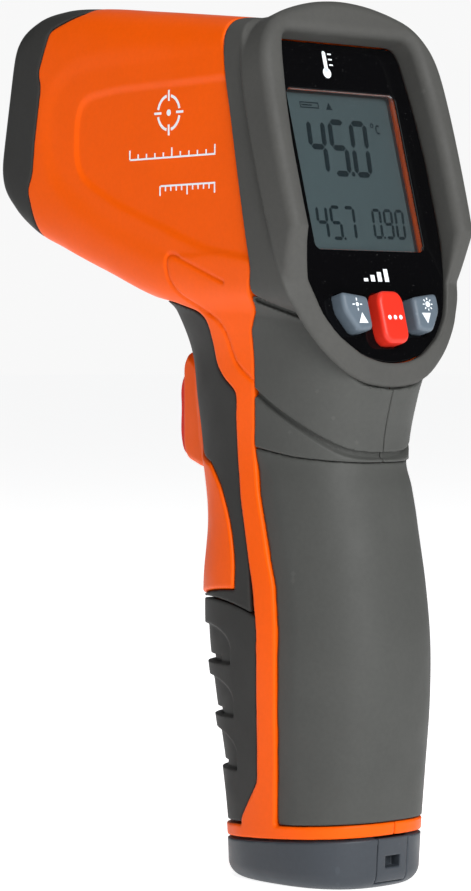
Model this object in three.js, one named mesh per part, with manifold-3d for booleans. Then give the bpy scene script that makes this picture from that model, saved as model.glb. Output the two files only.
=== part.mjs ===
// Pistol-shaped infrared thermometer: a clamshell housing with moulded-on grips, a display and keypad on the
// rear slope of the head, an infrared lens and a sighting laser in the nose, and a hinged battery door.
// Millimetres. +Z is up, +Y is the aiming direction, +X is the device's right, and X = 0 is the mirror plane.
// The origin is the centre of the flat foot that the device stands on.
import * as THREE from "three";
import { mergeVertices } from "three/addons/utils/BufferGeometryUtils.js";
import Module from "manifold-3d";

const wasm = await Module();
wasm.setup();

// ---------------------------------------------------------------- driving dimensions
const GAP = 0.3; // running and assembly gap between neighbouring pieces
const SKIN = 2.0; // thickness of the soft grips and of the bezel skirt
const WALL = 2.3; // housing wall under the grips
const GROOVE = 1.1; // width of the grooves that part the soft pieces

const HEAD_PITCH = 10.7; // degrees that the nose points up
const HEAD_ORIGIN = [0, 0, 180]; // head frame: Y along the head, Z up from its axis
const NOSE_BORE = 75.4; // head origin to where the bumper's bore starts
const NOSE_SPIGOT = 86; // head origin to the end of the housing inside the bumper
const HEAD_SQUARENESS = 8; // superellipse exponent of a head section

const PANEL_TILT = 15.1; // degrees that the display leans back from upright
const PANEL_ORIGIN = [0, -2.1, 206.3]; // top centre of the faceplate; local Y up the slope, local Z out
const PANEL_BACK = -2; // outer face of the bezel's seat, measured along the panel's normal
const RIDGE_HEIGHT = 7; // bezel ridge above the faceplate
const PLATE_THICKNESS = 1.6;
const WINDOW = { half: 18.7, top: 12.9, bottom: 53.6 }; // clear display window in the faceplate
const LCD_FRAME = { setback: 0.3, wall: 0.9, back: -2, front: -0.6 }; // orange ring behind the window's edge
const COLLAR = { start: -2.5, depth: 8, inset: 0.6, taper: 6.8 }; // rise of the head towards the bezel's hood
const BUTTON_HEIGHT = 3.7; // button face above the faceplate

const BAND_TOP = 14.6; // orange band above the base cap, at Y = 0
const BAND_BOTTOM = 11.4;
const BAND_SLOPE = -0.068; // the band drops towards the front
const FOOT_RADIUS = 4;

const GRIP_SQUARENESS = 2.5; // superellipse exponent of a handle section
const RING_STEPS = 28;

const DOOR_PIVOT = { y: 22, z: 16.6 };
const DOOR_TOE = 3.25; // radius of the door's rounded bottom edge about its pivot
const DOOR_TOP_RADIUS = 52.4; // from the pivot to the door's arched top edge
const DOOR_SHELL = 3.2;
const DOOR_LIFT = 0.7; // door's bottom edge above the band
const PIN_RADIUS = 0.8;
const LUG = { inner: 3.6, outer: 6.2 }; // where the housing's hinge lugs stand, each side of the middle
const KNUCKLE = 9.2; // half width of the door's hinge knuckle

const TRIGGER = { half: 4.8, bottom: 103.4, top: 125.2, face: 48.2, middle: 114.3 };
const SURROUND_FACE = 44;
const SURROUND_FLANK = 7.6; // half width of the surround's block beside the trigger

const BATTERY = { half: 13.2, depth: 17.4, height: 46, bottom: 25.2, y: -0.3 };
const OPTICS_DROP = -6; // lens axis below the head axis
const LASER_RISE = 11.5; // laser axis above the head axis

// Handle sections: height, half width, rear and front Y.
const HANDLE = [
  [6, 20.0, -23.7, 24.4],
  [15, 20.2, -24.4, 25.2],
  [28, 20.5, -25.8, 27.4],
  [45, 21.1, -27.4, 31.0],
  [60, 21.5, -27.4, 33.4],
  [73, 21.3, -25.9, 33.5],
  [89, 20.5, -23.0, 32.0],
  [106, 20.2, -20.4, 34.6],
  [119, 21.2, -23.2, 36.5],
  [131, 22.6, -27.4, 38.2],
  [142, 25.4, -27.0, 43.0],
  [152, 27.6, -22.0, 50.0],
];

// Head sections: distance along the head, half width, bottom and top.
const HEAD = [
  [-46, 30.2, -38.0, 33.6],
  [-10, 30.4, -38.6, 31.5],
  [6, 29.4, -41.0, 30.3],
  [24, 28.5, -43.4, 29.1],
  [50, 27.4, -40.1, 27.3],
  [68, 26.6, -37.1, 25.9],
  [80, 26.1, -34.6, 24.1],
  [88, 25.6, -30.8, 21.2],
  [93, 24.8, -27.0, 17.6],
  [96, 23.2, -23.4, 14.6],
];

// Outline of the bezel: half width at each distance down the panel from its top edge.
const BEZEL_OUTLINE = [
  [-8.6, 0], [-8.0, 8], [-6.5, 15], [-4.2, 22], [-1.2, 26], [3.5, 29.4], [10, 31.1], [25, 31.9],
  [45, 31.8], [56, 31.0], [66, 28.6], [71, 26.6], [78, 21.6], [84, 15], [87, 8], [87.9, 0],
];
const OPENING_OUTLINE = [
  [0.5, 0], [0.5, 20.8], [2.8, 22.6], [7, 23.4], [13, 24.2], [20, 25], [30, 25.6], [44, 25.6],
  [52, 25.4], [59, 24.4], [64, 23.2], [70, 21.2], [75.3, 17.2], [80, 10.6], [81.7, 5], [82.1, 0],
];

// Side view (Y, Z) of the orange housing: head, side strip and foot band.
const STRIP_REAR = [
  [7, 232], [6.6, 206], [5, 196], [3.2, 188], [0.8, 176], [-2.2, 161.7], [-4.8, 150], [-2.4, 142.4],
  [1.8, 135.3], [2.4, 128], [3.3, 117.5], [4.3, 106.8], [3, 96], [-1.4, 79.5], [-3.3, 73.5],
  [-4.3, 62.6], [-3.4, 25.6], [-3, 14],
];
const STRIP_FRONT = [
  [9.6, 14], [9.5, 15.6], [3, 25], [2.7, 36], [2.2, 62.3], [3.7, 73.2], [5.4, 79.2], [9, 94],
  [10.2, 104.7], [10.2, 113.8], [9.4, 119.2], [10.1, 120.9], [13.8, 123.6], [16.3, 127],
  [17.3, 137.8], [20.2, 140.1], [30, 142.6], [44, 144.2], [47, 120], [130, 120], [130, 232],
];

// Front view (X, Z) of the trigger surround, right half.
const SURROUND_OUTLINE = [
  [0, 132.6], [5, 131.6], [8.4, 129], [10, 125.4], [10.6, 118], [11, 108], [12.6, 105.4],
  [18, 102], [26, 98], [30, 92], [30, 76], [20, 71.6], [12, 69.4], [0, 68.2],
];
// Side view of the ground that the surround's saddle may cover.
const SADDLE_SIDE = [
  [10.8, 60], [10.8, 78], [12, 84], [14, 90], [17.5, 97], [21, 101], [24, 104], [25, 110], [25, 140],
  [80, 140], [80, 60],
];

// Side view of the nose bumper in the head frame: distance along the head, height above its axis.
const NOSE_SIDE = [
  [68.2, 60], [68.2, 24.9], [80, 18.3], [81.3, 12], [82.5, 6.9], [80.7, 3.8], [80.6, -10], [79.9, -19],
  [81.2, -23.2], [77.7, -30.5], [76.4, -33.3], [76, -60], [130, -60], [130, 60],
];

// Half outlines of the keypad sheet and the main board: distance down the panel, half width.
const KEYPAD_OUTLINE = [[61, 0], [61, 20.2], [68, 17.6], [73, 14], [77.4, 8], [77.4, 0]];
const BOARD_OUTLINE = [[5, 0], [5, 20], [12, 21], [56, 21], [66, 17], [72, 12.6], [75, 8], [75, 0]];

const COLOURS = {
  orange: "#ee5e18",
  rubber: "#4a4a48",
  grip: "#565857",
  cap: "#4a5056",
  plate: "#0a0a0b",
  red: "#ec3424",
  key: "#69767f",
  glass: "#9fb0b4",
  steel: "#b4b6b8",
};

// ---------------------------------------------------------------- helpers
const parts = new THREE.Group();

function radians(degrees) {
  return (degrees * Math.PI) / 180;
}

function frameOf(origin, turnX) {
  const turn = new THREE.Matrix4().makeRotationX(radians(turnX));
  return new THREE.Matrix4().makeTranslation(...origin).multiply(turn);
}

const HEAD_FRAME = frameOf(HEAD_ORIGIN, HEAD_PITCH);
const PANEL_FRAME = frameOf(PANEL_ORIGIN, 90 - PANEL_TILT);

function solid(geometry, frame) {
  const bare = geometry.index ? geometry.toNonIndexed() : geometry.clone();
  bare.deleteAttribute("normal");
  bare.deleteAttribute("uv");
  if (frame) bare.applyMatrix4(frame);
  const merged = mergeVertices(bare, 1e-4);
  const vertProperties = merged.attributes.position.array;
  const triVerts = new Uint32Array(merged.index.array);
  return new wasm.Manifold(new wasm.Mesh({ numProp: 3, vertProperties, triVerts }));
}

function join(...solids) {
  return solids.reduce((all, one) => all.add(one));
}

function addPart(name, shape, colour, roughness, metalness = 0) {
  const mesh = shape.getMesh();
  const geometry = new THREE.BufferGeometry();
  geometry.setAttribute("position", new THREE.BufferAttribute(mesh.vertProperties, 3));
  geometry.setIndex(new THREE.BufferAttribute(mesh.triVerts, 1));
  geometry.computeVertexNormals();
  const material = new THREE.MeshStandardMaterial({ color: colour, roughness, metalness });
  const part = new THREE.Mesh(geometry, material);
  part.name = name;
  parts.add(part);
  return part;
}

// A closed skin through rings of equal length, capped at both ends.
function loft(rings) {
  const steps = rings[0].length;
  const points = rings.flat();
  const faces = [];
  for (let r = 0; r + 1 < rings.length; r += 1) {
    for (let i = 0; i < steps; i += 1) {
      const j = (i + 1) % steps;
      const low = r * steps;
      const high = low + steps;
      faces.push(low + i, low + j, high + j, low + i, high + j, high + i);
    }
  }
  const last = (rings.length - 1) * steps;
  for (let i = 1; i + 1 < steps; i += 1) {
    faces.push(0, i + 1, i);
    faces.push(last, last + i, last + i + 1);
  }
  const geometry = new THREE.BufferGeometry().setFromPoints(points);
  geometry.setIndex(faces);
  return geometry;
}

function superellipse(halfWidth, low, high, power, place) {
  const ring = [];
  const middle = (low + high) / 2;
  const half = (high - low) / 2;
  for (let i = 0; i < RING_STEPS; i += 1) {
    const turn = (2 * Math.PI * i) / RING_STEPS;
    const c = Math.cos(turn);
    const s = Math.sin(turn);
    const x = halfWidth * Math.sign(c) * Math.abs(c) ** (2 / power);
    const v = middle + half * Math.sign(s) * Math.abs(s) ** (2 / power);
    ring.push(place(x, v));
  }
  return ring;
}

function handleSolid(inset) {
  const rings = HANDLE.map(([z, half, rear, front]) =>
    handleRing(half - inset, rear + inset, front - inset, z),
  );
  return solid(loft(rings));
}

function handleRing(half, rear, front, z) {
  return superellipse(half, rear, front, GRIP_SQUARENESS, (x, y) => new THREE.Vector3(x, y, z));
}

function headSolid(inset) {
  const rings = HEAD.map(([along, half, bottom, top], i) => {
    const end = i === HEAD.length - 1 ? inset : 0;
    const place = (x, z) => new THREE.Vector3(x, along - end, z);
    return superellipse(half - inset, bottom + inset, top - inset, HEAD_SQUARENESS, place).reverse();
  });
  return solid(loft(rings), HEAD_FRAME);
}

// A prism whose outline lies in the frame's XY plane, from low to high along its Z.
function prism(outline, low, high, frame) {
  const shape = new THREE.Shape(outline.map(([x, y]) => new THREE.Vector2(x, y)));
  const geometry = new THREE.ExtrudeGeometry(shape, { depth: high - low, bevelEnabled: false });
  geometry.translate(0, 0, low);
  return solid(geometry, frame);
}

// A prism across the whole width whose outline is the side view (Y, Z).
const SIDE_VIEW = new THREE.Matrix4().makeBasis(
  new THREE.Vector3(0, 1, 0),
  new THREE.Vector3(0, 0, 1),
  new THREE.Vector3(1, 0, 0),
);
function sidePrism(outline, half = 60) {
  return prism(outline, -half, half, SIDE_VIEW);
}

// A prism along Y whose outline is the front view (X, Z).
const FRONT_VIEW = new THREE.Matrix4().makeBasis(
  new THREE.Vector3(1, 0, 0),
  new THREE.Vector3(0, 0, 1),
  new THREE.Vector3(0, -1, 0),
);
function frontPrism(outline, nearY, farY) {
  return prism(outline, -farY, -nearY, FRONT_VIEW);
}

function box(low, high, frame) {
  const size = high.map((v, i) => v - low[i]);
  const geometry = new THREE.BoxGeometry(...size);
  geometry.translate(...low.map((v, i) => v + size[i] / 2));
  return solid(geometry, frame);
}

// A rod along the frame's Y axis.
function rod(radius, near, far, x, z, frame, steps = 24) {
  const geometry = new THREE.CylinderGeometry(radius, radius, far - near, steps);
  geometry.translate(x, (near + far) / 2, z);
  return solid(geometry, frame);
}

function tube(outer, inner, near, far, x, z, frame, steps = 28) {
  const hollow = rod(inner, near - 1, far + 1, x, z, frame, steps);
  return rod(outer, near, far, x, z, frame, steps).subtract(hollow);
}

// A rod across the device, along X.
const ACROSS = new THREE.Matrix4().makeRotationZ(-Math.PI / 2);
function crossRod(radius, left, right, y, z, steps = 20) {
  const frame = new THREE.Matrix4().makeTranslation(0, y, z).multiply(ACROSS);
  return rod(radius, left, right, 0, 0, frame, steps);
}

// Moves each corner of a closed outline outwards by a distance.
function grow(outline, distance) {
  let area = 0;
  outline.forEach(([x, y], i) => {
    const [u, v] = outline[(i + 1) % outline.length];
    area += x * v - u * y;
  });
  const side = Math.sign(area);
  return outline.map(([x, y], i) => {
    const [ax, ay] = outline[(i + outline.length - 1) % outline.length];
    const [bx, by] = outline[(i + 1) % outline.length];
    const before = new THREE.Vector2(x - ax, y - ay).normalize();
    const after = new THREE.Vector2(bx - x, by - y).normalize();
    const normal = new THREE.Vector2(before.y + after.y, -before.x - after.x).normalize();
    const reach = (side * distance) / Math.max(0.5, normal.x * before.y - normal.y * before.x);
    return [x + normal.x * reach, y + normal.y * reach];
  });
}

// A symmetrical outline in panel coordinates (X, up the slope) from half widths.
function panelOutline(halves) {
  const right = halves.map(([down, half]) => [half, -down]);
  const left = halves
    .filter(([, half]) => half > 0)
    .map(([down, half]) => [-half, -down])
    .reverse();
  return right.concat(left).reverse();
}

function mirrored(halfOutline) {
  const left = halfOutline
    .filter(([x]) => x > 0)
    .map(([x, z]) => [-x, z])
    .reverse();
  return halfOutline.concat(left).reverse();
}

function leftOf(x) {
  return box([-70, -90, -10], [x, 150, 240]);
}

function rightOf(x) {
  return box([x, -90, -10], [70, 150, 240]);
}

// ---------------------------------------------------------------- shared volumes
const BEZEL = panelOutline(BEZEL_OUTLINE);
const OPENING = panelOutline(OPENING_OUTLINE);

function behindPanel(height) {
  return prism([[-70, -250], [70, -250], [70, 60], [-70, 60]], -200, height, PANEL_FRAME);
}

function body(inset, panelHeight) {
  return handleSolid(inset).add(headSolid(inset)).intersect(behindPanel(panelHeight));
}

// The bezel's raised frame: full height beside the display, low around the keypad.
function bezelBlock(distance) {
  const block = prism(grow(BEZEL, distance), PANEL_BACK - 0.2 - distance, RIDGE_HEIGHT, PANEL_FRAME);
  const profile = [[-50, RIDGE_HEIGHT], [-61, 1], [-72, 0.4], [-95, -1.2], [-95, 30], [-50, 30]];
  const frame = PANEL_FRAME.clone().multiply(SIDE_VIEW);
  return block.subtract(prism(profile, -60, 60, frame));
}

const OUTER = body(0, PANEL_BACK);
const UNDER_SKIN = body(SKIN, PANEL_BACK + GAP + 0.1);
const HOUSING_OUTSIDE = body(SKIN + GAP, PANEL_BACK + 0.1);
const HOUSING_INSIDE = body(SKIN + GAP + WALL, PANEL_BACK - WALL);
const SKIN_LAYER = OUTER.subtract(UNDER_SKIN);

const ORANGE = sidePrism(STRIP_REAR.concat(STRIP_FRONT));
const ORANGE_GROWN = sidePrism(grow(STRIP_REAR.concat(STRIP_FRONT), GAP));
const HEAD_SIDE_VIEW = HEAD_FRAME.clone().multiply(SIDE_VIEW);
const NOSE = prism(NOSE_SIDE, -60, 60, HEAD_SIDE_VIEW);
const NOSE_GROWN = prism(grow(NOSE_SIDE, GAP), -60, 60, HEAD_SIDE_VIEW);

// The slab between two planes that drop towards the front by the band's slope.
function bandSlab(low, high) {
  const at = (height, y) => [y, height + BAND_SLOPE * y];
  return sidePrism([at(low, -60), at(low, 60), at(high, 60), at(high, -60)]);
}
const ABOVE_BAND = bandSlab(BAND_TOP + GAP, 400);
const BAND = bandSlab(BAND_BOTTOM, BAND_TOP);

// The room that the display, the keypad and the main board need behind the faceplate.
const PANEL_ROOM = prism(OPENING, -1.9, 60, PANEL_FRAME)
  .add(prism(grow(panelOutline(KEYPAD_OUTLINE), 1.6), -5.3, 60, PANEL_FRAME))
  .add(prism(grow(panelOutline(BOARD_OUTLINE), 0.6), -13, 60, PANEL_FRAME));

// A cone in front of the bezel, so that the head rises to meet the hood.
function collar() {
  const { start, depth, inset, taper } = COLLAR;
  const [top] = BEZEL_OUTLINE[0];
  const [bottom] = BEZEL_OUTLINE[BEZEL_OUTLINE.length - 1];
  const middle = -(top + bottom) / 2;
  const halfHeight = (bottom - top) / 2;
  const halfWidth = Math.max(...BEZEL_OUTLINE.map(([, half]) => half));
  const ring = (shrink, z) =>
    BEZEL.map(([x, y]) => {
      const across = (x * (halfWidth - shrink)) / halfWidth;
      const up = middle + ((y - middle) * (halfHeight - shrink)) / halfHeight;
      return new THREE.Vector3(across, up, z);
    });
  return solid(loft([ring(inset + taper, start - depth), ring(inset, start)]), PANEL_FRAME);
}

const SURROUND = mirrored(SURROUND_OUTLINE);

// The fan below the door's arched top edge, centred on the door's pivot.
function doorFan(extra) {
  const outline = [[-10, BAND_TOP - 6], [60, BAND_TOP - 6]];
  for (let degree = -30; degree <= 50; degree += 4) {
    const turn = radians(degree);
    const reach = DOOR_TOP_RADIUS + extra;
    outline.push([DOOR_PIVOT.y - Math.sin(turn) * reach, DOOR_PIVOT.z + Math.cos(turn) * reach]);
  }
  return sidePrism(outline);
}

const FRONT_OF_STRIP = sidePrism([
  [9.6, 0], [9.5, 15.6], [3, 25], [2.7, 36], [2.2, 62.3], [3.7, 76], [70, 76], [70, 0],
]);

// ---------------------------------------------------------------- optics in the nose
function addOptics() {
  const lensZ = OPTICS_DROP;
  const barrel = tube(11, 9, 60, 88.6, 0, lensZ, HEAD_FRAME);
  const stop = tube(9.5, 6.4, 80, 82, 0, lensZ, HEAD_FRAME);
  addPart("lens_barrel", barrel.add(stop), COLOURS.steel, 0.4, 0.9);
  addPart("lens_retaining_ring", tube(8.7, 7.2, 85.4, 90.6, 0, lensZ, HEAD_FRAME), "#17181a", 0.5, 0.4);
  const lens = lensDisc(8.6, 2.4, 1.2).transform(columns(HEAD_FRAME, 0, 82.4, lensZ));
  addPart("ir_lens", lens, "#5a4a52", 0.15, 0.3);
  const can = rod(4.1, 63, 68.4, 0, lensZ, HEAD_FRAME).add(rod(4.6, 61.4, 63.4, 0, lensZ, HEAD_FRAME));
  addPart("thermopile_sensor", can, COLOURS.steel, 0.3, 0.9);
  addPart("sensor_board", box([-15, 58, -22], [15, 59.6, 16.5], HEAD_FRAME), "#1f5b38", 0.55);
  addPart("laser_module", rod(3.1, 66, 87.8, 0, LASER_RISE, HEAD_FRAME), "#b08d4a", 0.35, 0.9);
  addPart("laser_window", rod(3.1, 88.4, 89.8, 0, LASER_RISE, HEAD_FRAME), COLOURS.glass, 0.1);
  const plate = prism(roundedRect(17.6, -20.5, 17.6, 6), 89.2, 91.4, headFacing());
  const holes = rod(9.1, 80, 100, 0, lensZ, HEAD_FRAME, 36).add(rod(3.5, 80, 100, 0, LASER_RISE, HEAD_FRAME));
  addPart("front_plate", plate.subtract(holes), COLOURS.plate, 0.45);
}

// Frame whose XY plane faces along the head and whose Z runs forwards.
function headFacing() {
  const basis = new THREE.Matrix4().makeBasis(
    new THREE.Vector3(-1, 0, 0),
    new THREE.Vector3(0, 0, 1),
    new THREE.Vector3(0, 1, 0),
  );
  return HEAD_FRAME.clone().multiply(basis);
}

function columns(frame, x, y, z) {
  return frame.clone().multiply(new THREE.Matrix4().makeTranslation(x, y, z)).toArray();
}

function roundedRect(half, low, high, radius) {
  const outline = [];
  const corners = [[half, high, 0], [-half, high, 90], [-half, low, 180], [half, low, 270]];
  corners.forEach(([x, y, start]) => {
    const cx = x - Math.sign(x) * radius;
    const cy = y === high ? y - radius : y + radius;
    for (let step = 0; step <= 4; step += 1) {
      const turn = radians(start + step * 22.5);
      outline.push([cx + radius * Math.cos(turn), cy + radius * Math.sin(turn)]);
    }
  });
  return outline;
}

// A plano-convex disc whose flat face is at Y = 0 and whose dome rises along +Y.
function lensDisc(radius, thickness, edge) {
  const profile = [new THREE.Vector2(0, 0), new THREE.Vector2(radius, 0), new THREE.Vector2(radius, edge)];
  for (let step = 1; step <= 5; step += 1) {
    const share = 1 - step / 5;
    const height = edge + (thickness - edge) * (1 - share * share);
    profile.push(new THREE.Vector2(radius * share, height));
  }
  return solid(new THREE.LatheGeometry(profile, 28));
}

// ---------------------------------------------------------------- display and keypad
const WINDOW_CORNERS = [
  [-WINDOW.half, -WINDOW.bottom], [WINDOW.half, -WINDOW.bottom], [WINDOW.half, -WINDOW.top],
  [-WINDOW.half, -WINDOW.top],
];
const KEYS = [
  {
    name: "button_left",
    outline: [[-16.4, -65], [-16.4, -69.6], [-12.8, -74.9], [-7.7, -74.4], [-7.7, -66.1]],
  },
  { name: "button_mode", outline: [[-4.3, -64.6], [-4.3, -77.7], [4.3, -77.7], [4.3, -64.6]] },
  {
    name: "button_right",
    outline: [[7.7, -66.1], [7.7, -74.4], [12.8, -74.9], [16.4, -69.6], [16.4, -65]],
  },
];

function addDisplay() {
  const plate = prism(grow(OPENING, -GAP), -PLATE_THICKNESS, 0, PANEL_FRAME);
  const keyHoles = KEYS.map((key) => prism(grow(key.outline, GAP), -5, 5, PANEL_FRAME));
  const hole = prism(WINDOW_CORNERS, -5, 5, PANEL_FRAME);
  const { setback, wall, back, front } = LCD_FRAME;
  const rebate = prism(grow(WINDOW_CORNERS, setback + wall + GAP), -5, front + GAP, PANEL_FRAME);
  addPart("display_faceplate", plate.subtract(join(hole, rebate, ...keyHoles)), COLOURS.plate, 0.15);
  const pane = prism(grow(WINDOW_CORNERS, -GAP), -0.45, -0.05, PANEL_FRAME);
  addPart("display_window", pane, COLOURS.glass, 0.05);
  const ring = prism(grow(WINDOW_CORNERS, setback + wall), back, front, PANEL_FRAME);
  const ringHole = prism(grow(WINDOW_CORNERS, setback), -5, 5, PANEL_FRAME);
  addPart("lcd_frame", ring.subtract(ringHole), COLOURS.orange, 0.5);
  addPart("lcd_glass", box([-18.6, -56, -4.2], [18.6, -9.8, -2.3], PANEL_FRAME), "#5a696b", 0.2);
  addPart("backlight_panel", box([-18.6, -56, -6.4], [18.6, -9.8, -4.6], PANEL_FRAME), "#d9dcd8", 0.5);
  addPart("keypad_sheet", prism(panelOutline(KEYPAD_OUTLINE), -4.9, -3.9, PANEL_FRAME), "#2a2c2e", 0.8);
  addPart("main_board", prism(panelOutline(BOARD_OUTLINE), -9.6, -8, PANEL_FRAME), "#1f5b38", 0.55);
  [-12.9, 0, 12.9].forEach((x, i) => {
    const base = box([x - 2.6, -72.6, -7.7], [x + 2.6, -67.4, -5.9], PANEL_FRAME);
    const y = -70;
    const plunger = prism(circle(1.2, x, y, 12), -6.2, -5.3, PANEL_FRAME);
    addPart("key_switch_" + (i + 1), base.add(plunger), "#26282b", 0.5);
  });
  KEYS.forEach((key) => {
    const cap = prism(key.outline, -2.4, BUTTON_HEIGHT - 0.7, PANEL_FRAME);
    const top = prism(grow(key.outline, -0.7), BUTTON_HEIGHT - 0.8, BUTTON_HEIGHT, PANEL_FRAME);
    const flange = prism(grow(key.outline, 0.6), -2.7, -1.9, PANEL_FRAME);
    const colour = key.name === "button_mode" ? COLOURS.red : COLOURS.key;
    addPart(key.name, join(cap, top, flange), colour, 0.5);
  });
}

function circle(radius, x, y, steps) {
  const outline = [];
  for (let i = 0; i < steps; i += 1) {
    const turn = (2 * Math.PI * i) / steps;
    outline.push([x + radius * Math.cos(turn), y + radius * Math.sin(turn)]);
  }
  return outline;
}

function panelCuts() {
  const displayCut = box([-19.1, -56.5, -20], [19.1, -9.3, 20], PANEL_FRAME);
  const keypadCut = prism(grow(OPENING, -2.2), -20, 20, PANEL_FRAME).intersect(
    box([-40, -90, -20], [40, -60, 20], PANEL_FRAME),
  );
  return displayCut.add(keypadCut);
}

// ---------------------------------------------------------------- housing halves
const SCREWS = [
  { name: "case_screw_top", y: 34, z: 202 },
  { name: "case_screw_nose", y: 71, z: 169 },
  { name: "case_screw_rear", y: 17, z: 150 },
  { name: "case_screw_foot", y: -0.5, z: 19.4 },
];
const SCREW = { shank: 1.2, head: 2.4, tip: -10, seat: 9, headTop: 11.2 };

function hinge() {
  const { y, z } = DOOR_PIVOT;
  const lug = (low, high) => box([low, y - 4, z - 4.4], [high, y + 1.2, z + 1.5]);
  return lug(LUG.inner, LUG.outer).add(lug(-LUG.outer, -LUG.inner));
}

function housingSolid() {
  const boss = SCREWS.map((screw) => crossRod(3.6, -40, 40, screw.y, screw.z));
  const ribs = join(...boss).intersect(HOUSING_OUTSIDE);
  const floor = bandSlab(BAND_BOTTOM, BAND_TOP + 1).intersect(HOUSING_OUTSIDE);
  const colouredZone = ORANGE.subtract(NOSE_GROWN).add(BAND);
  const visible = OUTER.add(collar()).intersect(colouredZone);
  const shell = HOUSING_OUTSIDE.subtract(HOUSING_INSIDE);
  const barrelHole = rod(11.3, 50, 110, 0, OPTICS_DROP, HEAD_FRAME, 36);
  const frontHole = box([-18, 76, -21], [18, 110, 18], HEAD_FRAME);
  const beyondSpigot = box([-60, NOSE_SPIGOT, -60], [60, 130, 60], HEAD_FRAME);
  const doorway = doorFan(GAP).intersect(FRONT_OF_STRIP).intersect(bandSlab(BAND_TOP + 0.1, 300));
  const slot = box([-5.6, 20, 102.6], [5.6, 60, 126]);
  const hollow = HOUSING_INSIDE.subtract(join(...boss)).subtract(bandSlab(-50, BAND_TOP + 1));
  const belowBand = bandSlab(-50, BAND_BOTTOM);
  const cuts = join(panelCuts(), barrelHole, frontHole, beyondSpigot, doorway, slot, belowBand);
  const drilled = SCREWS.map((screw) =>
    crossRod(SCREW.shank + GAP, SCREW.tip - 1, 30, screw.y, screw.z).add(
      crossRod(SCREW.head + GAP, SCREW.seat, 60, screw.y, screw.z),
    ),
  );
  const lugs = hinge().subtract(crossRod(PIN_RADIUS + GAP, -20, 20, DOOR_PIVOT.y, DOOR_PIVOT.z));
  const opening = prism(OPENING, PANEL_BACK, 60, PANEL_FRAME);
  return join(visible, shell, ribs, floor)
    .subtract(hollow)
    .subtract(cuts)
    .subtract(opening)
    .subtract(bezelBlock(GAP))
    .add(lugs)
    .subtract(join(...drilled));
}

function biggest(shape) {
  const pieces = shape.decompose();
  pieces.sort((a, b) => b.volume() - a.volume());
  return pieces[0];
}

function addHousing() {
  const whole = housingSolid();
  addPart("housing_left", biggest(whole.intersect(leftOf(-GAP / 2))), COLOURS.orange, 0.5);
  addPart("housing_right", biggest(whole.intersect(rightOf(GAP / 2))), COLOURS.orange, 0.5);
  SCREWS.forEach((screw) => {
    const shank = crossRod(SCREW.shank, SCREW.tip, SCREW.seat + 0.6, screw.y, screw.z);
    const head = crossRod(SCREW.head, SCREW.seat + GAP, SCREW.headTop, screw.y, screw.z);
    addPart(screw.name, shank.add(head), COLOURS.steel, 0.35, 0.9);
  });
}

// ---------------------------------------------------------------- nose bumper and bezel
function addNoseBumper() {
  const bore = prism(roundedRect(18, -21, 18, 6.4), NOSE_BORE, 120, headFacing());
  const collar = OUTER.intersect(NOSE).subtract(bore);
  const spigot = body(SKIN, 100).intersect(box([-60, 0, -60], [60, NOSE_SPIGOT + GAP, 60], HEAD_FRAME));
  addPart("nose_bumper", biggest(collar.subtract(spigot)), COLOURS.rubber, 0.75);
}

// Behind the orange boundary and above the cheek groove.
const CHEEK = [
  [-60, 232], ...STRIP_REAR.slice(0, 7).map(([y, z]) => [y - GAP, z]),
  [-3.6, 144.6], [-19, 138.6], [-60, 130],
];
const NECK = [
  [-60, 130 - GROOVE], [-19, 138.4 - GROOVE], [-3.2, 143.6 - GROOVE], [-2.7, 142], [1.5, 135.3], [2.1, 128],
  [3, 117.5], [4, 106.9], [-8, 104.6], [-20, 103.2], [-60, 103],
];
const GRIP = [
  [-60, 102.7], [-20, 102.9], [-8, 104.3], [4, 106.5], [2.7, 96], [-1.7, 79.5], [-3.6, 73.5], [-4.6, 62.6],
  [-3.7, 25.6], [-3.3, 8], [-60, 8],
];
// The decorative groove low on the neck pads, and how deep it is sunk.
const NECK_GROOVE = [
  [4.6, 121.8], [-1.8, 117], [-8.8, 112.3], [-14, 108.6], [-18, 105.6], [-21, 104.6], [-60, 104.6],
];
const NECK_GROOVE_DEPTH = 1.2;

function addBezel() {
  const skirt = SKIN_LAYER.intersect(sidePrism(CHEEK)).subtract(PANEL_ROOM);
  const frame = bezelBlock(0).subtract(prism(OPENING, -50, 60, PANEL_FRAME)).subtract(UNDER_SKIN);
  addPart("display_bezel", biggest(frame.add(skirt)), COLOURS.rubber, 0.7);
}

function addRearGrips() {
  const lower = NECK_GROOVE.map(([y, z]) => [y - 0.4, z - GROOVE]).reverse();
  const groove = sidePrism(NECK_GROOVE.concat(lower)).subtract(body(NECK_GROOVE_DEPTH, PANEL_BACK));
  const room = join(bezelBlock(GAP), PANEL_ROOM, groove);
  const neck = SKIN_LAYER.intersect(sidePrism(NECK)).subtract(room);
  addPart("neck_pad_left", biggest(neck.intersect(leftOf(-GAP / 2))), COLOURS.grip, 0.75);
  addPart("neck_pad_right", biggest(neck.intersect(rightOf(GAP / 2))), COLOURS.grip, 0.75);
  const grip = SKIN_LAYER.intersect(sidePrism(GRIP)).intersect(ABOVE_BAND);
  addPart("grip_rear", biggest(grip), COLOURS.grip, 0.75);
}

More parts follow.
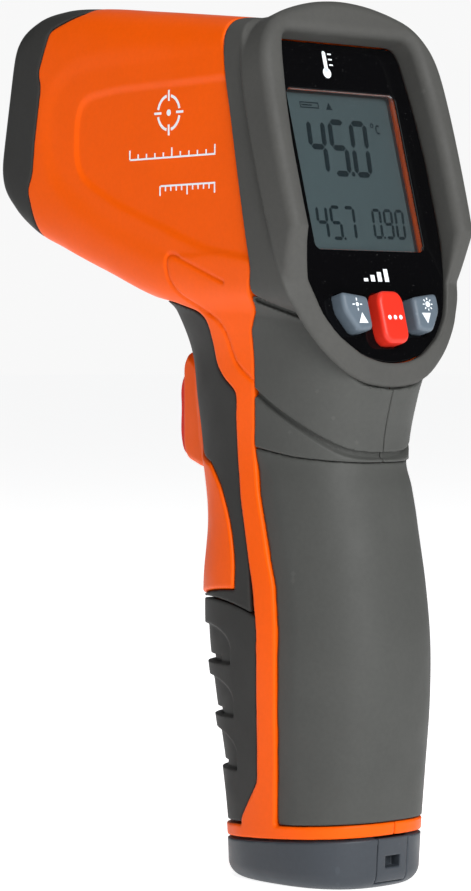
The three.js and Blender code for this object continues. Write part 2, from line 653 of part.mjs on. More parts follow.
// ---------------------------------------------------------------- front grip, trigger and its surround
const FRONT_GRIP_SIDE = [
  [4.2, 62], [5.7, 79.2], [9.3, 94], [10.5, 104.7], [10.5, 113.8], [9.8, 119], [10.4, 120.6], [14.1, 123.3],
  [16.6, 126.8], [17.6, 137.6], [20.4, 139.8], [30, 142.3], [43.6, 143.8], [60, 143.8], [60, 62],
];
const SURROUND_BLOCK_SIDE = [
  [20, 101], [34, 101], [SURROUND_FACE - 2.4, 103], [SURROUND_FACE, 106], [SURROUND_FACE, 127],
  [SURROUND_FACE - 3, 130], [30, 132],
];
function addFrontGrip() {
  const zone = sidePrism(FRONT_GRIP_SIDE);
  const surroundCut = frontPrism(grow(SURROUND, GAP), 0, 80).intersect(sidePrism(grow(SADDLE_SIDE, GAP)));
  const room = join(surroundCut, doorFan(GAP + 0.1), ORANGE_GROWN);
  const ring = SKIN_LAYER.intersect(zone).subtract(room);
  addPart("grip_front", biggest(ring), COLOURS.rubber, 0.75);
}

function addTrigger() {
  const outline = frontPrism(SURROUND, 0, 80).intersect(sidePrism(SADDLE_SIDE));
  const saddle = SKIN_LAYER.intersect(outline);
  const inner = SURROUND.map(([x, z]) => [x * 0.78, z]);
  const hood = sidePrism(SURROUND_BLOCK_SIDE, 11).intersect(outline).subtract(UNDER_SKIN);
  const root = hood.intersect(box([-12, 0, 90], [12, 38, 140]));
  const snout = frontPrism(inner, 36, 80).intersect(sidePrism(SURROUND_BLOCK_SIDE, SURROUND_FLANK));
  const slim = hood.intersect(snout).add(root);
  const slotHalf = TRIGGER.half + 0.4;
  const slot = box([-slotHalf, 0, TRIGGER.bottom - 0.4], [slotHalf, 80, TRIGGER.top + 0.4]);
  const keep = doorFan(GAP + 0.1);
  addPart("trigger_surround", biggest(saddle.add(slim).subtract(slot).subtract(keep)), COLOURS.orange, 0.5);

  const { half, bottom, top, face, middle } = TRIGGER;
  const profile = [
    [27, bottom], [face - 2.6, bottom], [face - 0.9, bottom + 2.4], [face, bottom + 6], [face, top - 5],
    [face - 1, top - 1.6], [face - 2.4, top], [27, top],
  ];
  const flange = box([-6.6, 25.4, bottom - 1.6], [6.6, 27.6, top + 1.2]);
  addPart("trigger", sidePrism(profile, half).add(flange), COLOURS.red, 0.45);
  addPart("trigger_spring", coil(2.6, 0.55, 15.9, 25, middle, 5), COLOURS.steel, 0.35, 0.9);
  const base = box([-5, 5.6, middle - 6.4], [5, 12.4, middle + 6.4]);
  addPart("trigger_switch", base.add(rod(1.7, 12, 15.4, 0, middle)), "#26282b", 0.5);
}

// A compression spring along Y.
function coil(radius, wire, near, far, z, turns) {
  const start = near + wire + 0.05;
  const end = far - wire - 0.05;
  const points = [];
  const steps = turns * 12;
  for (let i = 0; i <= steps; i += 1) {
    const turn = (2 * Math.PI * i) / 12;
    const y = start + ((end - start) * i) / steps;
    points.push(new THREE.Vector3(radius * Math.cos(turn), y, z + radius * Math.sin(turn)));
  }
  const path = new THREE.CatmullRomCurve3(points);
  const section = new THREE.Shape(circle(wire, 0, 0, 6).map(([x, y]) => new THREE.Vector2(x, y)));
  return solid(new THREE.ExtrudeGeometry(section, { steps, bevelEnabled: false, extrudePath: path }));
}

// ---------------------------------------------------------------- battery compartment
const FINGER_SCALLOPS = [58, 45, 32]; // heights of the three finger recesses in the door
const SCALLOP = { radius: 9, reach: 32.55, lean: 0.09 }; // the recesses' rods follow the door's slope

function addBatteryDoor() {
  const { y, z } = DOOR_PIVOT;
  const shellOnly = OUTER.subtract(handleSolid(DOOR_SHELL));
  const zone = doorFan(0)
    .intersect(FRONT_OF_STRIP)
    .intersect(bandSlab(BAND_TOP + DOOR_LIFT, 300))
    .subtract(ORANGE_GROWN);
  const { radius, reach, lean } = SCALLOP;
  const scallop = (height) => crossRod(radius, -40, 40, reach + height * lean, height, 28);
  const scallops = FINGER_SCALLOPS.map(scallop);
  const knuckle = box([-KNUCKLE, y - 1.6, z - 1.5], [KNUCKLE, y + 1.4, z + 3]);
  const lugRoom = (low, high) => box([low, y - 8, z - 8], [high, y + 8, z + 2.4]);
  const notches = lugRoom(LUG.inner - 0.4, LUG.outer + 0.4).add(lugRoom(-LUG.outer - 0.4, -LUG.inner + 0.4));
  const gate = shellOnly.intersect(zone).subtract(join(...scallops)).add(knuckle.intersect(OUTER));
  const bore = crossRod(PIN_RADIUS + GAP, -KNUCKLE, KNUCKLE, y, z);
  const toe = box([-40, y, z - 8], [40, y + 12, z]).subtract(crossRod(DOOR_TOE, -41, 41, y, z, 36));
  addPart("battery_door", biggest(gate.subtract(notches).subtract(bore).subtract(toe)), COLOURS.rubber, 0.75);
  const pin = crossRod(PIN_RADIUS, GAP - KNUCKLE, KNUCKLE - GAP, y, z);
  addPart("door_hinge_pin", pin, COLOURS.steel, 0.3, 0.9);
}

function addBattery() {
  const { half, depth, height, bottom, y } = BATTERY;
  const rear = y - depth / 2;
  const front = y + depth / 2;
  const wall = 0.9;
  const room = 0.25;
  const trayTop = bottom + height + 8;
  const side = half + room + wall;
  const outside = box([-side, rear - room - wall, bottom - room - wall], [side, front, trayTop]);
  const inside = box([-half - room, rear - room, bottom - room], [half + room, front + 5, trayTop - wall]);
  addPart("battery_tray", outside.subtract(inside), "#d4571c", 0.55);
  const cellTop = bottom + height;
  const cell = box([-half, rear, bottom], [half, front, cellTop]);
  const studs = [-6.3, 6.3].map((x) => prism(circle(2.9, x, y, 16), cellTop - 0.5, cellTop + 2.6));
  addPart("battery_9v", join(cell, ...studs), "#3b4a63", 0.4, 0.3);
  const snap = box([-12, y - 6, cellTop + 3], [12, y + 6, cellTop + 5.6]);
  addPart("battery_snap", snap, "#17181a", 0.6);
}

// ---------------------------------------------------------------- foot cap
const SOCKET = { half: 8.2, rear: 4.6, front: 13.4 };

function footSolid(inset) {
  const [, half, rear, front] = HANDLE[0];
  const rings = [];
  for (let step = 0; step <= 4; step += 1) {
    const turn = radians(90 * (1 - step / 4));
    const pull = FOOT_RADIUS * (1 - Math.cos(turn)) + inset;
    const z = FOOT_RADIUS * (1 - Math.sin(turn)) + inset;
    rings.push(handleRing(half - pull, rear + pull, front - pull, z));
  }
  const [topZ, topHalf, topRear, topFront] = HANDLE[1];
  rings.push(handleRing(topHalf - inset, topRear + inset, topFront - inset, topZ + 3));
  return solid(loft(rings));
}

function addFoot() {
  const cup = footSolid(0).subtract(footSolid(2.2)).intersect(bandSlab(-50, BAND_BOTTOM - GAP));
  const insertZone = box([-5, -40, 1.6], [5, -17, 30]);
  const insertCut = box([-5 - GAP, -40, 1.6 - GAP], [5 + GAP, -19, 30]);
  const socketHalf = SOCKET.half + GAP;
  const socketCut = box([-socketHalf, SOCKET.rear - GAP, -1], [socketHalf, SOCKET.front + GAP, 30]);
  const screwSpots = [-12, 12];
  const screwHoles = screwSpots.map((x) =>
    prism(circle(1.6, x, -9, 16), -1, 30).add(prism(circle(3, x, -9, 20), -1, 1.2)),
  );
  const cutters = join(insertCut, socketCut, ...screwHoles);
  addPart("base_cap", biggest(cup.subtract(cutters)), COLOURS.cap, 0.6);

  const block = footSolid(0).intersect(insertZone).intersect(box([-5, -40, 1.6], [5, -19.3, 30]));
  const insertBody = block.intersect(bandSlab(-50, BAND_BOTTOM - GAP));
  const eyelet = box([-2.5, -40, 5.2], [2.5, -20.6, 8]);
  addPart("strap_eyelet", insertBody.subtract(eyelet), COLOURS.cap, 0.6);

  const socket = box([-SOCKET.half, SOCKET.rear, 0.4], [SOCKET.half, SOCKET.front, 9.6]);
  const blades = [[-5.6, -2.4], [2.8, 5.4]].map(([low, high]) => box([low, 8.4, -1], [high, 9.6, 7.6]));
  addPart("thermocouple_socket", socket.subtract(join(...blades)), "#d9b53c", 0.5);
  screwSpots.forEach((x, i) => {
    const shank = prism(circle(1.2, x, -9, 14), 1, 8.6);
    const head = prism(circle(2.6, x, -9, 20), 0.5, 1.1);
    addPart("base_screw_" + (i + 1), shank.add(head), COLOURS.steel, 0.35, 0.9);
  });
}

function addBuzzer() {
  addPart("buzzer", crossRod(6, -2, 2, 34, 168, 28), "#26282b", 0.5);
}

addHousing();
addNoseBumper();
addBezel();
addRearGrips();
addFrontGrip();
addTrigger();
addOptics();
addDisplay();
addBatteryDoor();
addBattery();
addFoot();
addBuzzer();

export default parts;
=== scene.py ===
"""Looks of a pistol-shaped infrared thermometer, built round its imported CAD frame.

The moulded pieces are described as distance fields in millimetres (negative inside), in the frame's own axes:
+Z up, +Y the aiming direction, +X the device's right. Each field is turned into a closed mesh in metres.
"""

import math
from functools import cached_property, reduce

import bmesh
import bpy
import numpy as np
from mathutils import Matrix, Vector


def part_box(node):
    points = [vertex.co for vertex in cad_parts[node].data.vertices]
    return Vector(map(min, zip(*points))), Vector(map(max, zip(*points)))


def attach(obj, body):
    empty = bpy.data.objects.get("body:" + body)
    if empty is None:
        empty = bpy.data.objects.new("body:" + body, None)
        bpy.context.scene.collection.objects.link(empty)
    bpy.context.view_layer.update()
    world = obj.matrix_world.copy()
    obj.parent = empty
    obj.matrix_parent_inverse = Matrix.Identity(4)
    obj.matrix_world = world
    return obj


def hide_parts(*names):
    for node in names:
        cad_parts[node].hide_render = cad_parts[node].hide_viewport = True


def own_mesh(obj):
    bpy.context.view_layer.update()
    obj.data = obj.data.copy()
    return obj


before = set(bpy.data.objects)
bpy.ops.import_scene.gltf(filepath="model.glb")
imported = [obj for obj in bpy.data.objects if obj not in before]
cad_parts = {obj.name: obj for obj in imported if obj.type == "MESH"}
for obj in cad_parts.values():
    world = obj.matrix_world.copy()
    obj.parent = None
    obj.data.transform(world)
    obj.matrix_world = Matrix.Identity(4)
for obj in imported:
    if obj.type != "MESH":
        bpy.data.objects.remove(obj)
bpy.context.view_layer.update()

# ---------------------------------------------------------------- driving dimensions, millimetres
MM = 0.001
FINE = 1.0  # mesh steps are this many times coarser while trying things
GAP = 0.3  # between neighbouring pieces
SKIN = 2.0  # thickness of the soft pieces
WALL = 2.3  # of the housing under them
EDGE = 0.45  # rounding of the housing's visible edges

HEAD_PITCH = math.radians(10.7)
HEAD_HEIGHT = 180.0
HEAD_SQUARENESS = 8
NOSE_END = 96.0
NOSE_SPIGOT = 86.0  # where the housing ends inside the nose

PANEL_TILT = math.radians(15.1)
PANEL_TOP = (-2.1, 206.3)
PANEL_BACK = -2.2
RIDGE_HEIGHT = 7.0
PLATE_THICKNESS = 1.6
FRAME_OUTSIDE = {"half": 20.2, "span": (11.4, 55.1)}
WINDOW = {"half": 18.7, "top": 12.9, "bottom": 53.6}
BUTTON_HEIGHT = 3.7

BAND_TOP = 14.6
BAND_BOTTOM = 11.4
BAND_SLOPE = -0.068
FOOT_RADIUS = 4.0
GRIP_SQUARENESS = 2.5

DOOR_PIVOT = (22.0, 16.6)
DOOR_TOE = 3.25
DOOR_TOP_RADIUS = 52.4
DOOR_SHELL = 3.2
DOOR_LIFT = 0.7
PIN_RADIUS = 0.8
LUG = (3.6, 6.2)
KNUCKLE = 9.2

TRIGGER = {"half": 4.8, "bottom": 103.4, "top": 125.2, "face": 48.2}
SURROUND_FACE = 44.0
SCREW_SPOTS = ((34, 202), (71, 169), (17, 150), (-0.5, 19.4))
SCREW_HEAD = {"radius": 2.4, "seat": 9.0}
BASE_SCREW = (12.0, -9.0)
SOCKET = {"half": 8.2, "rear": 4.6, "front": 13.4}

# Handle sections: height, half width, rear and front Y.
HANDLE = np.array([
    [0, 19.8, -23.4, 24.3], [6, 20.0, -23.7, 24.4], [15, 20.2, -24.4, 25.2], [28, 20.5, -25.8, 27.4],
    [45, 21.1, -27.4, 31.0], [60, 21.5, -27.4, 33.4], [73, 21.3, -25.9, 33.5], [89, 20.5, -23.0, 32.0],
    [106, 20.2, -20.4, 34.6], [119, 21.2, -23.2, 36.5], [131, 22.6, -27.4, 38.2], [142, 25.4, -27.0, 43.0],
    [152, 27.6, -22.0, 50.0],
])
# Head sections: distance along the head, half width, bottom and top.
HEAD = np.array([
    [-46, 30.2, -38.0, 33.6], [-10, 30.4, -38.6, 31.5], [6, 29.4, -41.0, 30.3], [24, 28.5, -43.4, 29.1],
    [50, 27.4, -40.1, 27.3], [68, 26.6, -37.1, 25.9], [80, 26.1, -34.6, 24.1], [88, 25.6, -30.8, 21.2],
    [93, 24.8, -27.0, 17.6], [96, 23.2, -23.4, 14.6],
])
# Panel outlines: distance down the panel and half width.
BEZEL_HALF = [
    [-8.6, 0], [-8.0, 8], [-6.5, 15], [-4.2, 22], [-1.2, 26], [3.5, 29.4], [10, 31.1], [25, 31.9],
    [45, 31.8], [56, 31.0], [66, 28.6], [71, 26.6], [78, 21.6], [84, 15], [87, 8], [87.9, 0],
]
OPENING_HALF = [
    [0.5, 0], [0.5, 20.8], [2.8, 22.6], [7, 23.4], [13, 24.2], [20, 25], [30, 25.6], [44, 25.6],
    [52, 25.4], [59, 24.4], [64, 23.2], [70, 21.2], [75.3, 17.2], [80, 10.6], [81.7, 5], [82.1, 0],
]
# Side view (Y, Z) of the orange housing.
STRIP_REAR = [
    [7, 232], [6.6, 206], [5, 196], [3.2, 188], [0.8, 176], [-2.2, 161.7], [-4.8, 150], [-2.4, 142.4],
    [1.8, 135.3], [2.4, 128], [3.3, 117.5], [4.3, 106.8], [3, 96], [-1.4, 79.5], [-3.3, 73.5],
    [-4.3, 62.6], [-3.4, 25.6], [-3, 14],
]
STRIP_FRONT = [
    [9.6, 14], [9.5, 15.6], [3, 25], [2.7, 36], [2.2, 62.3], [3.7, 73.2], [5.4, 79.2], [9, 94],
    [10.2, 104.7], [10.2, 113.8], [9.4, 119.2], [10.1, 120.9], [13.8, 123.6], [16.3, 127],
    [17.3, 137.8], [20.2, 140.1], [30, 142.6], [44, 144.2], [47, 120], [130, 120], [130, 232],
]
FRONT_OF_STRIP = [[9.6, 0], [9.5, 15.6], [3, 25], [2.7, 36], [2.2, 62.3], [3.7, 76], [70, 76], [70, 0]]
CHEEK = [[-60, 232]] + [[y - GAP, z] for y, z in STRIP_REAR[:7]]
CHEEK += [[-3.6, 143.9], [-19, 137.5], [-60, 128.9]]
GROOVES = (
    [[-2.5, 143.1], [-10, 140.1], [-19, 136.6], [-26, 133.9]],
    [[4, 121.2], [-1.8, 117], [-8.8, 112.3], [-14, 108.6], [-18, 105.6], [-21, 104.4], [-26, 104.2]],
)
NECK = [
    [-60, 128.7], [-19, 137.2], [-3.4, 143.5], [-2.7, 142.3], [1.5, 135.3], [2.1, 128], [3.0, 117.5],
    [4.0, 106.9], [-8, 104.6], [-20, 103.2], [-60, 103],
]
GRIP = [
    [-60, 102.88], [-20, 103.08], [-8, 104.48], [4.0, 106.7], [2.7, 96], [-1.7, 79.5], [-3.6, 73.5],
    [-4.6, 62.6], [-3.7, 25.6], [-3.3, 8], [-60, 8],
]
FRONT_GRIP = [
    [4.2, 62], [5.7, 79.2], [9.3, 94], [10.5, 104.7], [10.5, 113.8], [9.8, 119], [10.4, 120.6],
    [14.1, 123.3], [16.6, 126.8], [17.6, 137.6], [20.4, 139.8], [30, 142.3], [43.6, 143.8], [60, 143.8],
    [60, 62],
]
# Front view (X, Z) of the trigger surround, right half.
SURROUND_HALF = [
    [0, 132.6], [5, 131.6], [8.4, 129], [10, 125.4], [10.6, 118], [11, 108], [12.6, 105.4],
    [18, 102], [26, 98], [30, 92], [30, 76], [20, 71.6], [12, 69.4], [0, 68.2],
]
# Side view (Y, Z) of the ground the surround's saddle may cover.
SADDLE_SIDE = [
    [10.8, 60], [10.8, 78], [12, 84], [14, 90], [17.5, 97], [21, 101], [24, 104], [25, 110], [25, 140],
    [80, 140], [80, 60],
]
SURROUND_BLOCK = [
    [20, 101], [34, 101], [SURROUND_FACE - 2, 103], [SURROUND_FACE, 106], [SURROUND_FACE, 127],
    [SURROUND_FACE - 2.6, 130], [30, 132],
]
# Side view of the nose bumper in the head's own axes (along, up).
NOSE = [
    [68.2, 60], [68.2, 24.9], [80, 18.3], [81.3, 12], [82.5, 6.9], [80.7, 3.8], [80.6, -10],
    [79.9, -19], [81.2, -23.2], [77.7, -30.5], [76.4, -33.3], [76, -60], [130, -60], [130, 60],
]
# Side view of the shallow label recess and of the engraved leaf line on the housing.
LABEL_RECESS = [
    [-20, 196.4], [12.8, 196.2], [47.5, 195.9], [60.8, 194.5], [63.6, 189.3], [63.7, 178.6],
    [60.8, 173.9], [47.5, 167.3], [28.7, 160.7], [12.8, 155], [-20, 150],
]
LABEL_FRAME = [
    [-20, 204], [30, 204.5], [62, 203.5], [73, 199], [76, 190], [75.6, 180], [71, 172], [52, 161.5],
    [30, 153.5], [12, 147.5], [-20, 144],
]
LEAF_LINE = [
    [-18, 137.9], [8, 147.6], [24.4, 153.9], [26.6, 154], [27.2, 152], [26.6, 147.8], [23.7, 144],
    [12.8, 137.7], [10.8, 134.8], [9.9, 130.4], [8.8, 127.5], [5.9, 124.8], [-1.5, 120.2], [-6, 117],
]
SIDE_KEY = [[7.7, 66.1], [7.7, 74.4], [12.8, 74.9], [16.4, 69.6], [16.4, 65]]
KEYS = {
    "left": [[-x, down] for x, down in SIDE_KEY],
    "mode": [
        [-4.3, 66.6], [-2.8, 64.6], [2.8, 64.6], [4.3, 66.6], [4.3, 76.0], [2.8, 77.7], [-2.8, 77.7],
        [-4.3, 76.0],
    ],
    "right": SIDE_KEY,
}


# ---------------------------------------------------------------- fields
def meet(radius, first, *others):
    """Intersection of solids with its convex edges rounded to a radius."""
    for other in others:
        reach = np.hypot(np.maximum(first + radius, 0), np.maximum(other + radius, 0))
        first = np.minimum(np.maximum(first, other), -radius) + reach
    return first


def fuse(radius, first, *others):
    """Union of solids with its concave edges filled to a radius."""
    return -meet(radius, -first, *(-other for other in others))


def carve(radius, solid, tool):
    return meet(radius, solid, -tool)


def both(*solids):
    """Sharp intersection."""
    return reduce(np.maximum, solids)


def either(*solids):
    """Sharp union."""
    return reduce(np.minimum, solids)


def rounded_box(across, up, half, low, high, radius):
    """Distance to a rectangle with rounded corners, centred across."""
    dx = np.abs(across) - half + radius
    dy = np.abs(up - (low + high) / 2) - (high - low) / 2 + radius
    return np.hypot(np.maximum(dx, 0), np.maximum(dy, 0)) + np.minimum(np.maximum(dx, dy), 0) - radius


def step_up(value, start, end):
    """0 before start, 1 after end, with a soft ramp between them."""
    share = np.clip((value - start) / (end - start), 0, 1)
    return share * share * (3 - 2 * share)


def smooth_columns(stations, spacing=0.5):
    """Looks up each column of a table of stations along a smooth curve."""
    at = stations[:, 0]
    places = np.arange(at[0], at[-1] + spacing, spacing)
    which = np.clip(np.searchsorted(at, places, side="right") - 1, 0, len(at) - 2)
    width = at[which + 1] - at[which]
    share = (places - at[which]) / width
    columns = []
    for values in stations[:, 1:].T:
        slope = np.gradient(values, at)
        start = values[which] * (1 + 2 * share) + slope[which] * width * share
        end = values[which + 1] * (3 - 2 * share) - slope[which + 1] * width * (1 - share)
        columns.append(start * (1 - share) ** 2 + end * share ** 2)
    return lambda place: [np.interp(place, places, column) for column in columns]


handle_section = smooth_columns(HANDLE)
head_section = smooth_columns(HEAD)


def superellipse(x, v, half, low, high, power):
    """Distance to a superellipse of a given half width, between low and high."""
    depth = (high - low) / 2
    across = np.abs(x) / half
    down = np.abs(v - (low + high) / 2) / depth
    radius = (across ** power + down ** power) ** (1 / power) + 1e-9
    steep = np.hypot((across / radius) ** (power - 1) / half, (down / radius) ** (power - 1) / depth)
    return (radius - 1) / steep


def softened(corners, reach):
    """Replaces each corner of a closed outline by a short curve that starts and ends within reach of it."""
    corners = np.array(corners, float)
    points = []
    for index, corner in enumerate(corners):
        for other in (corners[index - 1], corners[(index + 1) % len(corners)]):
            length = np.linalg.norm(other - corner)
            points.append(corner + (other - corner) * min(reach, 0.45 * length) / length)
        before, after = points[-2:]
        middle = (before + 2 * corner + after) / 4
        quarter = (before * 9 + corner * 6 + after) / 16
        late = (before + corner * 6 + after * 9) / 16
        points[-1:] = [quarter, middle, late, after]
    return np.array(points)


def segment_distance(u, v, start, end):
    edge = end - start
    share = np.clip(((u - start[0]) * edge[0] + (v - start[1]) * edge[1]) / (edge @ edge), 0, 1)
    return (u - start[0] - share * edge[0]) ** 2 + (v - start[1] - share * edge[1]) ** 2


class Outline:
    """Signed distance to a closed outline in a plane, looked up in a grid made once."""
    SPACING = 0.5
    MARGIN = 9.0

    def __init__(self, corners, reach=1.2, low=(-34, -14), high=(134, 236)):
        points = softened(corners, reach)
        self.low = np.maximum(points.min(axis=0) - self.MARGIN, low)
        self.high = np.minimum(points.max(axis=0) + self.MARGIN, high)
        counts = np.ceil((self.high - self.low) / self.SPACING).astype(int) + 1
        u = (self.low[0] + np.arange(counts[0]) * self.SPACING)[:, None]
        v = (self.low[1] + np.arange(counts[1]) * self.SPACING)[None, :]
        nearest = np.full(counts, 1e9)
        inside = np.zeros(counts, bool)
        for start, end in zip(points, np.roll(points, -1, axis=0)):
            if np.allclose(start, end):
                continue
            nearest = np.minimum(nearest, segment_distance(u, v, start, end))
            if start[1] != end[1]:
                crossing = start[0] + (v - start[1]) * (end[0] - start[0]) / (end[1] - start[1])
                inside ^= ((start[1] > v) != (end[1] > v)) & (u < crossing)
        self.grid = np.where(inside, -1, 1) * np.sqrt(nearest)

    def at(self, u, v):
        shape = np.array(self.grid.shape) - 1
        i = np.clip((u - self.low[0]) / self.SPACING, 0, shape[0] - 1e-6)
        j = np.clip((v - self.low[1]) / self.SPACING, 0, shape[1] - 1e-6)
        beyond = np.hypot(u - self.low[0] - i * self.SPACING, v - self.low[1] - j * self.SPACING)
        a, b = i.astype(int), j.astype(int)
        i, j = i - a, j - b
        g = self.grid
        near = g[a, b] * (1 - j) + g[a, b + 1] * j
        far = g[a + 1, b] * (1 - j) + g[a + 1, b + 1] * j
        return near * (1 - i) + far * i + beyond


def line_distance(u, v, points):
    """Distance to an open line through points."""
    points = np.array(points, float)
    nearest = [segment_distance(u, v, start, end) for start, end in zip(points, points[1:])]
    return np.sqrt(np.minimum.reduce(nearest))


def both_sides(halves):
    """A closed outline (x, down) from distances down the panel and half widths."""
    right = [[half, down] for down, half in halves]
    left = [[-half, down] for down, half in reversed(halves) if half > 0]
    return right + left


def mirrored(corners):
    return corners + [[-x, z] for x, z in reversed(corners) if x > 0]


SMOOTH = 60.0
WIDE = {"low": (-60, -40), "high": (140, 240)}
ORANGE = Outline(STRIP_REAR + STRIP_FRONT, 2.2)
DOOR_ZONE = Outline(FRONT_OF_STRIP, 1.2)
CHEEKS = Outline(CHEEK, 2.0)
NECKS = Outline(NECK, 0.7)
GRIPS = Outline(GRIP, 0.7)
FRONT_GRIPS = Outline(FRONT_GRIP, 2.0)
BEZEL = Outline(both_sides(BEZEL_HALF), SMOOTH, **WIDE)
OPENING = Outline(both_sides(OPENING_HALF), 2.2, **WIDE)
SURROUND = Outline(mirrored(SURROUND_HALF), SMOOTH)
BLOCK = Outline(SURROUND_BLOCK, 1.5)
SADDLE = Outline(SADDLE_SIDE, 3.0)
NOSES = Outline(NOSE, 1.6, (40, -64), (120, 64))
RECESS = Outline(LABEL_RECESS, 4.0)
RECESS_FRAME = Outline(LABEL_FRAME, 9.0)
KEY_OUTLINES = {name: Outline(corners, 1.3, **WIDE) for name, corners in KEYS.items()}


class Spots:
    """A batch of points in millimetres, with the coordinates and distances that several pieces share."""

    def __init__(self, x, y, z):
        self.x, self.y, self.z = x, y, z
        self.side = np.abs(x)

    @cached_property
    def along(self):
        return self.y * math.cos(HEAD_PITCH) + (self.z - HEAD_HEIGHT) * math.sin(HEAD_PITCH)

    @cached_property
    def up(self):
        return (self.z - HEAD_HEIGHT) * math.cos(HEAD_PITCH) - self.y * math.sin(HEAD_PITCH)

    @cached_property
    def down(self):
        rise = (self.z - PANEL_TOP[1]) * math.cos(PANEL_TILT)
        return -rise - (self.y - PANEL_TOP[0]) * math.sin(PANEL_TILT)

    @cached_property
    def out(self):
        rise = (self.z - PANEL_TOP[1]) * math.sin(PANEL_TILT)
        return rise - (self.y - PANEL_TOP[0]) * math.cos(PANEL_TILT)

    @cached_property
    def level(self):
        """Height above the sloping foot plane that the band and the cap share."""
        return self.z - BAND_SLOPE * self.y

    @cached_property
    def handle(self):
        half, rear, front = handle_section(self.z)
        section = superellipse(self.x, self.y, half, rear, front, GRIP_SQUARENESS)
        return np.maximum(section, self.z - 152)

    @cached_property
    def head(self):
        half, bottom, top = head_section(self.along)
        section = superellipse(self.x, self.up, half, bottom, top, HEAD_SQUARENESS)
        return meet(1.6, section, self.along - NOSE_END)

    @cached_property
    def body(self):
        """The whole casing before it is cut into pieces."""
        return fuse(2.5, self.handle, self.head)

    @cached_property
    def orange(self):
        return ORANGE.at(self.y, self.z)

    @cached_property
    def from_pin(self):
        return np.hypot(self.y - DOOR_PIVOT[0], self.z - DOOR_PIVOT[1])

    def block(self, low, high):
        """Distance to a box, exact outside its faces."""
        away = [np.maximum(low[k] - v, v - high[k]) for k, v in enumerate((self.x, self.y, self.z))]
        outside = np.sqrt(sum(np.maximum(a, 0) ** 2 for a in away))
        return outside + np.minimum(np.maximum.reduce(away), 0)


# ---------------------------------------------------------------- meshing
BLOCK_STEPS = 4
CORNERS = np.indices((2, 2, 2)).reshape(3, -1).T
EDGES = [(a, b) for a in range(8) for b in range(a) if abs(CORNERS[a] - CORNERS[b]).sum() == 1]
PROBE = np.array([[1, -1, -1], [-1, -1, 1], [-1, 1, -1], [1, 1, 1]]) * 0.04


def evaluate(field, points, chunk=400000):
    results = [field(Spots(*points[i:i + chunk].T)) for i in range(0, len(points), chunk)]
    return np.concatenate(results)


def sample(field, low, high, step):
    """Field values on a grid, worked out in full only near the surface."""
    width = step * BLOCK_STEPS
    blocks = np.ceil((high - low) / width).astype(int)
    centres = np.indices(blocks).reshape(3, -1).T
    coarse = evaluate(field, low + (centres + 0.5) * width).reshape(blocks)
    near = np.argwhere(np.abs(coarse) < (0.87 * BLOCK_STEPS + 1) * step * 1.3)
    values = coarse
    for axis in range(3):
        values = values.repeat(BLOCK_STEPS, axis)
    offsets = np.indices((BLOCK_STEPS,) * 3).reshape(3, -1).T
    index = (near[:, None, :] * BLOCK_STEPS + offsets).reshape(-1, 3)
    values[tuple(index.T)] = evaluate(field, low + (index + 0.5) * step)
    return values


def surface_net(values, low, step):
    """One vertex in each cell that the surface crosses, and one four-sided face over each crossed edge."""
    inside = values < 0
    size = np.array(values.shape) - 1
    window = [inside[a:a + size[0], b:b + size[1], c:c + size[2]] for a, b, c in CORNERS]
    count = sum(part.astype(np.int8) for part in window)
    cells = np.argwhere((count > 0) & (count < 8))
    number = np.full(size, -1, np.int64)
    number[tuple(cells.T)] = np.arange(len(cells))
    corner = np.stack([values[tuple((cells + c).T)] for c in CORNERS], axis=1)
    total = np.zeros((len(cells), 3))
    crossings = np.zeros((len(cells), 1))
    for a, b in EDGES:
        crossed = (corner[:, a] < 0) != (corner[:, b] < 0)
        share = np.where(crossed, corner[:, a] / np.where(crossed, corner[:, a] - corner[:, b], 1), 0)
        place = CORNERS[a] + (CORNERS[b] - CORNERS[a]) * share[:, None]
        total += np.where(crossed[:, None], place, 0)
        crossings += crossed[:, None]
    points = low + (cells + total / crossings + 0.5) * step
    faces = []
    for axis in range(3):
        u, v = np.eye(3, dtype=int)[[(axis + 1) % 3, (axis + 2) % 3]]
        first = inside[:-1, :-1, :-1]
        second = inside[tuple(slice(1, None) if k == axis else slice(None, -1) for k in range(3))]
        edges = np.argwhere(first != second)
        edges = edges[(edges[:, (axis + 1) % 3] > 0) & (edges[:, (axis + 2) % 3] > 0)]
        ring = [number[tuple((edges - du * u - dv * v).T)] for du, dv in ((1, 1), (0, 1), (0, 0), (1, 0))]
        ring = np.stack(ring, axis=1)
        starts_inside = inside[tuple(edges.T)]
        faces.append(np.where(starts_inside[:, None], ring, ring[:, ::-1]))
    return points, np.concatenate(faces)


def settle(field, points, step, rounds=2):
    """Moves each vertex onto the field's surface."""
    for _ in range(rounds):
        values = [evaluate(field, points + probe) for probe in PROBE]
        slope = sum(value[:, None] * probe for value, probe in zip(values, PROBE)) / (4 * 0.04 ** 2)
        steep = np.maximum((slope ** 2).sum(axis=1), 0.05)
        move = slope * (sum(values) / 4 / steep)[:, None]
        length = np.linalg.norm(move, axis=1, keepdims=True) + 1e-9
        points = points - move * np.minimum(1, 0.7 * step / length)
    return points


def largest_part(points, faces):
    """Drops everything but the biggest connected surface."""
    label = np.arange(len(points))
    while True:
        lowest = label[faces].min(axis=1)
        spread = label.copy()
        np.minimum.at(spread, faces.ravel(), lowest.repeat(4))
        spread = spread[spread]
        if (spread == label).all():
            break
        label = spread
    keep = label == np.bincount(label).argmax()
    renumber = np.cumsum(keep) - 1
    return points[keep], renumber[faces[keep[faces[:, 0]]]]


